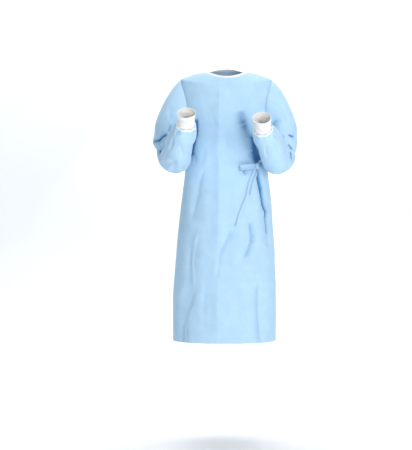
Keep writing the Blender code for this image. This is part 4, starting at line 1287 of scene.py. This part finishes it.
def strip_uv_and_shade(mesh, sections, trough):
    """UV along and round a lofted strip in metres, and the given painted shade at each point."""
    sections = np.asarray(sections)
    columns = sections.shape[1]
    along = lengths_along(sections, 0).mean(axis=1)
    around = lengths_along(sections, 1).mean(axis=0)
    layer = mesh.uv_layers.new(name="Cloth")
    corner = np.zeros(len(mesh.loops), dtype=np.int32)
    mesh.loops.foreach_get("vertex_index", corner)
    values = np.stack([around[corner % columns], along[corner // columns]], axis=1)
    layer.data.foreach_set("uv", values.astype(np.float32).reshape(-1))
    mesh.attributes.new("trough", "FLOAT", "POINT").data.foreach_set(
        "value", np.asarray(trough).reshape(-1).astype(np.float32))


def no_lift(angle, level):
    return np.zeros_like(angle)


def under_lift(angle, level):
    return -OVERLAP_LIFT * eased((OVERLAP + OVERLAP_MARGIN - math.pi / 2 - angle) / OVERLAP_RAMP + 1)


def over_lift(angle, level):
    """The over panel's lift, with its free edge laid down on the under panel except near the neck."""
    raised = OVERLAP_LIFT * eased((angle + math.pi / 2 + OVERLAP + OVERLAP_MARGIN) / OVERLAP_RAMP + 1)
    near_edge = 1 - eased((OVERLAP - math.pi / 2 - angle) / LAID_REACH)
    below_neck = eased((NECK - level) / (NECK - SHOULDER))
    return raised - LAID_DROP * near_edge * below_neck


def neck_edge():
    """Points of the neck edge with their ways out and up, from the under panel round to the over panel."""
    points, normals = [], []
    for angles, lift_of in (
        (np.linspace(UNDER_EDGE, 0, 80), under_lift),
        (np.linspace(0, math.pi, 150)[1:-1], no_lift),
        (np.linspace(-math.pi, OVER_EDGE, 80), over_lift),
    ):
        levels = np.full_like(angles, NECK)
        points.append(body_surface(angles, levels, lift_of(angles, levels))[0])
        normals.append(body_normal(angles, levels))
    points, normals = np.concatenate(points), np.concatenate(normals)
    up = np.cross(np.gradient(points, axis=0), normals)
    up *= np.sign(up[:, 2:3]) / np.linalg.norm(up, axis=1, keepdims=True)
    return points, normals, up


def binding_piece():
    """The folded binding: a rounded strip that grips the neck edge, a little puckered by its stitches."""
    edge, normals, up = neck_edge()
    middle = edge - normals * BINDING_THICKNESS / 4
    turns = np.linspace(0, 2 * math.pi, 20, endpoint=False)
    across = powered(np.cos(turns), BINDING_SQUARENESS) * BINDING_THICKNESS / 2
    rise = powered(np.sin(turns), BINDING_SQUARENESS) * (BINDING_HEIGHT + BINDING_TUCK) / 2
    rise = rise + (BINDING_HEIGHT - BINDING_TUCK) / 2
    along = lengths_along(edge[:, None], 0)[:, 0]
    pucker = 1 + sum(PUCKER * np.sin(along * 2 * math.pi / wave) for wave in PUCKER_WAVES)
    sections = (
        middle[:, None] + normals[:, None] * (across * pucker[:, None])[..., None]
        + up[:, None] * rise[None, :, None]
    )
    mesh = closed_strip("neck_binding_folded", sections)
    strip_uv_and_shade(mesh, sections, np.zeros(sections.shape[:2]))
    made = new_object("neck_binding_folded", mesh)
    made.data.materials.append(
        white_material("binding_shown", bpy.context.scene.gown_colours.binding, BINDING_LOOP))
    return hand_over(made, "neck_binding")


def strip_section(stop_width, wall, wave):
    """A tie's cross-section as places across and heights: a folded strip with a crease along it."""
    across = np.linspace(-1, 1, ACROSS_TIE)
    crease = -0.16 * wall * np.exp(-(((across - 0.35) / 0.16) ** 2))
    top = np.stack([across * stop_width / 2, wall / 2 + crease + wave * across**2], axis=1)
    under = np.stack([across[::-1] * stop_width / 2, -wall / 2 + wave * across[::-1] ** 2], axis=1)
    edges = np.abs(top[:, 0]) > 0.98 * stop_width / 2
    top[edges, 1] -= wall * 0.22
    under[edges[::-1], 1] += wall * 0.22
    return np.concatenate([top, under])


def tie_piece(name, mesh):
    made = new_object(name, mesh)
    made.data.materials.append(tie_material())
    return made


def tie_strip(name, stops, steps, curl, shade):
    """A flat strip that follows the cloth; a stop's place is its ring angle."""
    table = SmoothTable(range(len(stops)), stops)
    line = table.at(np.linspace(0, len(stops) - 1, steps + 1))
    place, z, lift, width = line.T
    scale = np.linalg.norm(
        on_body(place + TINY, z, 0 * z) - on_body(place - TINY, z, 0 * z), axis=1) / (2 * TINY)
    run = unit(np.stack([scale * np.gradient(place), np.gradient(z)], axis=1))
    sections, troughs = [], []
    for i in range(steps + 1):
        section = strip_section(width[i], TIE_WALL, curl * math.sin(i * 0.21))
        angle = place[i] - run[i, 1] * section[:, 0] / scale[i]
        height = z[i] + run[i, 0] * section[:, 0]
        sections.append(on_body(angle, height, lift[i] + TIE_WALL / 2 + section[:, 1]))
        # Painted shade: a dark stripe along the strip's crease for its shaded side, and darker edges
        depth = shade * np.exp(-(((section[:, 0] / width[i] * 2 - 0.35) / 0.3) ** 2))
        troughs.append(depth + 0.25 * (np.abs(section[:, 0]) > 0.45 * width[i]))
    mesh = closed_strip(name, sections)
    strip_uv_and_shade(mesh, sections, troughs)
    return tie_piece(name, mesh)


def tie_loop(name, loop):
    """A bow loop that leaves the knot, turns at its far end and comes back above itself."""
    length = math.hypot(loop.x1 - loop.x0, loop.z1 - loop.z0)
    dx, dz = (loop.x1 - loop.x0) / length, (loop.z1 - loop.z0) / length
    shares = np.linspace(0, 1, LOOP_STEPS + 1)
    bulge = np.maximum(np.sin(math.pi * shares), 0)
    reach = length * bulge
    lift = (
        loop.lift
        - loop.opening / 2 * np.sin(2 * math.pi * shares)
        - LOOP_PARTING * np.cos(math.pi * shares)
    )
    width = LOOP_ROOT + (loop.width - LOOP_ROOT) * bulge**LOOP_SWELL
    slope = unit(np.stack([np.gradient(reach), np.gradient(lift)], axis=1))
    sections, troughs = [], []
    for i in range(LOOP_STEPS + 1):
        section = strip_section(width[i], TIE_WALL, 0.0)
        u = reach[i] - slope[i, 1] * section[:, 1]
        v = lift[i] + slope[i, 0] * section[:, 1]
        x = loop.x0 + u * dx - section[:, 0] * dz
        z = loop.z0 + u * dz + section[:, 0] * dx
        sections.append(on_body(front_angle(x, z), z, v))
        # Painted shade: the whole loop a little darker, more along its crease and on the lower layer from the
        # knot
        troughs.append(0.25 + 0.35 * np.exp(-(((section[:, 0] / width[i] * 2 - 0.35) / 0.2) ** 2))
                       + 0.4 * (shares[i] < 0.45) * np.ones(len(section)))
    mesh = closed_strip(name, sections)
    strip_uv_and_shade(mesh, sections, troughs)
    return tie_piece(name, mesh)


def tie_knot():
    """The knot: a small pulled lump with the folds of the strip wound slantwise round it."""
    angle = front_angle(np.array(KNOT_X), np.array(KNOT_Z))
    centre = on_body(angle, np.array(KNOT_Z), np.array(KNOT_LIFT))
    outward = body_normal(angle, level_of(np.array(KNOT_Z)))
    shape = bmesh.new()
    bmesh.ops.create_uvsphere(shape, u_segments=56, v_segments=36, radius=0.5)
    for vert in shape.verts:
        x, y, z = vert.co * 2
        wound = math.cos(KNOT_WINDS * (z + KNOT_SLANT * x) + KNOT_TWIST * y)
        pinch = 1 - KNOT_PINCH * math.exp(-((z / KNOT_PINCH_REACH) ** 2))
        vert.co *= (1 - KNOT_RIDGE + KNOT_RIDGE * wound) * pinch
        vert.co.z *= KNOT_STRETCH
    bmesh.ops.scale(shape, vec=KNOT_SIZE, verts=shape.verts)
    turn = Matrix.Rotation(math.atan2(outward[0], -outward[1]), 3, "Z")
    bmesh.ops.rotate(shape, cent=(0, 0, 0), matrix=turn, verts=shape.verts)
    bmesh.ops.translate(shape, vec=Vector(centre), verts=shape.verts)
    mesh = smooth_mesh("tie_knot_wound", shape)
    mesh.attributes.new("trough", "FLOAT", "POINT")
    return tie_piece("tie_knot_wound", mesh)


def stitched(name, lines, tree, colour_name):
    """Stitches along lines of points, as one mesh."""
    sizes, colours = bpy.context.scene.gown_sizes, bpy.context.scene.gown_colours
    points, edges = [], []
    for line in lines:
        first = len(points)
        points += [tuple(p) for p in line]
        edges += [(first + i, first + i + 1) for i in range(len(line) - 1)]
    mesh = bpy.data.meshes.new(name)
    mesh.from_pydata(points, edges, [])
    thread = bpy.data.materials.get(f"thread_{colour_name}")
    if thread is None:
        thread, shader_tree, shader = material_start(f"thread_{colour_name}", 0.6, 0.1)
        place = added(shader_tree, "ShaderNodeTexCoord")
        twist = noise(shader_tree, place.outputs["Object"], 900, 2)
        colour = getattr(colours, colour_name)
        tint = mixed(shader_tree, twist, (*colour, 1), (*(0.85 * c for c in colour), 1))
        shader_tree.links.new(tint, shader.inputs["Base Color"])
    made = baked_by(new_object(name, mesh), tree, {
        "Pitch": sizes.stitch_pitch, "Stitch": sizes.stitch_length, "Thread": sizes.thread,
        "Finish": thread})
    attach(made, "root")
    return made


class GOWN_OT_body(bpy.types.Operator):
    """Makes the front and the two back panels"""

    bl_idname = "gown.body"
    bl_label = "Body panels"

    def execute(self, context):
        front = panel(
            "front_cloth",
            lambda level: ARMHOLE_FRONT * armhole_turn(level),
            lambda level: math.pi - ARMHOLE_FRONT * armhole_turn(level),
            no_lift, COLUMNS_FRONT, (True, True))
        hand_over(front, "front")
        left = panel(
            "back_left_cloth",
            lambda level: -ARMHOLE_BACK * armhole_turn(level),
            lambda level: np.full_like(level, UNDER_EDGE),
            under_lift, COLUMNS_BACK, (True, False))
        hand_over(left, "back_left")
        right = panel(
            "back_right_cloth",
            lambda level: ARMHOLE_BACK * armhole_turn(level) - math.pi,
            lambda level: np.full_like(level, OVER_EDGE),
            over_lift, COLUMNS_BACK, (True, False))
        hand_over(right, "back_right")
        return {"FINISHED"}


class GOWN_OT_sleeves(bpy.types.Operator):
    """Makes both sleeves"""

    bl_idname = "gown.sleeves"
    bl_label = "Sleeves"

    def execute(self, context):
        for arm in ARMS:
            sleeve_piece(arm)
        return {"FINISHED"}


class GOWN_OT_cuffs(bpy.types.Operator):
    """Makes both knit cuffs, with their ribs raised"""

    bl_idname = "gown.cuffs"
    bl_label = "Knit cuffs"

    def execute(self, context):
        tree = rib_tree()
        for arm in ARMS:
            cuff_piece(arm, tree)
            seam_edge_piece(arm)
        return {"FINISHED"}


class GOWN_OT_binding(bpy.types.Operator):
    """Makes the folded binding round the neck"""

    bl_idname = "gown.binding"
    bl_label = "Neck binding"

    def execute(self, context):
        binding_piece()
        return {"FINISHED"}


class GOWN_OT_tie(bpy.types.Operator):
    """Makes the waist tie: the wrapped stretch, the knot, both loops and both tails"""

    bl_idname = "gown.tie"
    bl_label = "Waist tie"

    def execute(self, context):
        wrap = [stop._replace(place=math.radians(stop.place)) for stop in WRAP]
        strip = tie_strip("tie_wrap_strip", wrap, WRAP_STEPS, 0.0002, 0.0)
        hand_over(strip, "tie_wrap")
        for node, stops in TAILS.items():
            placed = [
                stop._replace(place=float(front_angle(np.array(stop.place), np.array(stop.z))))
                for stop in stops
            ]
            strip = tie_strip(f"{node}_strip", placed, TAIL_STEPS, 0.0004, 0.75)
            hand_over(strip, node)
        for node, loop in LOOPS.items():
            hand_over(tie_loop(f"{node}_strip", loop), node)
        hand_over(tie_knot(), "tie_knot")
        return {"FINISHED"}


class GOWN_OT_sewing(bpy.types.Operator):
    """Lays the stitches of the seams, the hem and the binding"""

    bl_idname = "gown.sewing"
    bl_label = "Sewing"

    def execute(self, context):
        tree = stitch_tree()
        stitched("seam_stitches", self.seams(), tree, "thread")
        edge, normals, up = neck_edge()
        low = edge + normals * BINDING_THICKNESS * 0.25 + up * BINDING_STITCH_RISE
        stitched("binding_stitches", [low], tree, "binding")
        return {"FINISHED"}

    def seams(self):
        """Stitched lines beside the armholes and the side seams, and above the hem."""
        lines = []
        turns = np.linspace(0, 2 * math.pi, 160)
        level = np.linspace(0.002, UNDERARM - 0.006, 420)
        for side in (1, -1):
            points, normals = armhole_points(side, turns, ARMHOLE_STITCH_REACH, ARMHOLE_STITCH_RISE)
            lines.append(points + normals * STITCH_LIFT)
            angle = np.full_like(level, SIDE_STITCH if side > 0 else math.pi - SIDE_STITCH)
            lines.append(body_surface(angle, level)[0] + body_normal(angle, level) * STITCH_LIFT)
        for first, last, lift_of in (
            (0.0, math.pi, no_lift),
            (0.0, UNDER_EDGE, under_lift),
            (-math.pi, OVER_EDGE, over_lift),
        ):
            angle = np.linspace(first, last, 300)
            hem = np.full_like(angle, HEM_STITCH)
            points = body_surface(angle, hem, lift_of(angle, hem))[0]
            lines.append(points + body_normal(angle, hem) * STITCH_LIFT)
        return lines


class GOWN_OT_stage(bpy.types.Operator):
    """Sets the pale floor and backdrop, the soft lights and the camera"""

    bl_idname = "gown.stage"
    bl_label = "Stage"

    def execute(self, context):
        self.backdrop()
        for light in LIGHTS:
            self.light(*light)
        context.scene.world = self.world()
        context.scene.view_settings.view_transform = "Standard"
        camera = bpy.data.cameras.new("camera")
        camera.sensor_width = SENSOR
        camera.lens = SENSOR * CAMERA_AWAY / (PICTURE_ROWS * METRES_A_PIXEL)
        placed = bpy.data.objects.new("camera", camera)
        placed.location = (CAMERA_X, -CAMERA_AWAY, CAMERA_Z)
        placed.rotation_euler = (math.pi / 2, 0, 0)
        context.scene.collection.objects.link(placed)
        context.scene.camera = placed
        return {"FINISHED"}

    def world(self):
        """Cool surrounding light, seen as a pale backdrop past the floor's edges."""
        made = bpy.data.worlds.new("studio")
        made.use_nodes = True
        tree = made.node_tree
        around = tree.nodes["Background"]
        around.inputs["Color"].default_value = (*COOL, 1)
        around.inputs["Strength"].default_value = SURROUND
        seen = added(tree, "ShaderNodeBackground", {"Color": (*PALE, 1)})
        ray = added(tree, "ShaderNodeLightPath").outputs["Is Camera Ray"]
        mix = mixed_shader(tree, ray, around.outputs[0], seen.outputs[0])
        tree.links.new(mix, tree.nodes["World Output"].inputs["Surface"])
        return made

    def backdrop(self):
        """A floor that turns up into a wall behind, which is see-through from its back."""
        bend = [(BEND_START + BEND * math.sin(a), FLOOR_Z + BEND * (1 - math.cos(a)))
                for a in np.linspace(0, math.pi / 2, 16)]
        profile = [(FLOOR_FRONT, FLOOR_Z), (0.0, FLOOR_Z), *bend, (BEND_START + BEND, WALL_TOP)]
        verts = [(x, y, z) for y, z in profile for x in (-FLOOR_SIDE, FLOOR_SIDE)]
        faces = [(2 * i, 2 * i + 1, 2 * i + 3, 2 * i + 2) for i in range(len(profile) - 1)]
        mesh = bpy.data.meshes.new("studio_floor")
        mesh.from_pydata(verts, [], faces)
        mesh.shade_smooth()
        made, tree, shader = material_start("studio_floor", 0.9, 0.0)
        shader.inputs["Base Color"].default_value = (*bpy.context.scene.gown_colours.floor, 1)
        behind = added(tree, "ShaderNodeNewGeometry").outputs["Backfacing"]
        clear = added(tree, "ShaderNodeBsdfTransparent")
        mix = mixed_shader(tree, behind, shader.outputs[0], clear.outputs[0])
        tree.links.new(mix, tree.nodes["Material Output"].inputs["Surface"])
        mesh.materials.append(made)
        new_object("studio_floor", mesh)

    def light(self, name, place, target, size, power, colour):
        lamp = bpy.data.lights.new(name, "AREA")
        lamp.shape = "SQUARE"
        lamp.size = size
        lamp.energy = power
        lamp.color = colour
        made = bpy.data.objects.new(name, lamp)
        made.location = place
        aim = Vector(target) - Vector(place)
        made.rotation_euler = aim.to_track_quat("-Z", "Y").to_euler()
        made.visible_camera = False
        bpy.context.scene.collection.objects.link(made)


PIECES = (
    GOWN_OT_body, GOWN_OT_sleeves, GOWN_OT_cuffs, GOWN_OT_binding, GOWN_OT_tie, GOWN_OT_sewing, GOWN_OT_stage,
)


class GOWN_PT_panel(bpy.types.Panel):
    """Lists the pieces of the gown, its sizes and its colours"""

    bl_label = "Surgical gown"
    bl_idname = "GOWN_PT_panel"
    bl_space_type = "VIEW_3D"
    bl_region_type = "UI"
    bl_category = "Gown"

    def draw(self, context):
        for group in (context.scene.gown_sizes, context.scene.gown_colours):
            column = self.layout.column()
            for name in group.bl_rna.properties.keys():
                if name not in ("rna_type", "name"):
                    column.prop(group, name)
        for piece in PIECES:
            self.layout.operator(piece.bl_idname)


CLASSES = (GownSizes, GownColours, *PIECES, GOWN_PT_panel)


def register():
    for each in CLASSES:
        bpy.utils.register_class(each)
    bpy.types.Scene.gown_sizes = bpy.props.PointerProperty(type=GownSizes)
    bpy.types.Scene.gown_colours = bpy.props.PointerProperty(type=GownColours)


def unregister():
    del bpy.types.Scene.gown_colours
    del bpy.types.Scene.gown_sizes
    for each in reversed(CLASSES):
        bpy.utils.unregister_class(each)


def main():
    register()
    for piece in PIECES:
        group, name = piece.bl_idname.split(".")
        getattr(getattr(bpy.ops, group), name)()


if __name__ == "__main__":
    main()
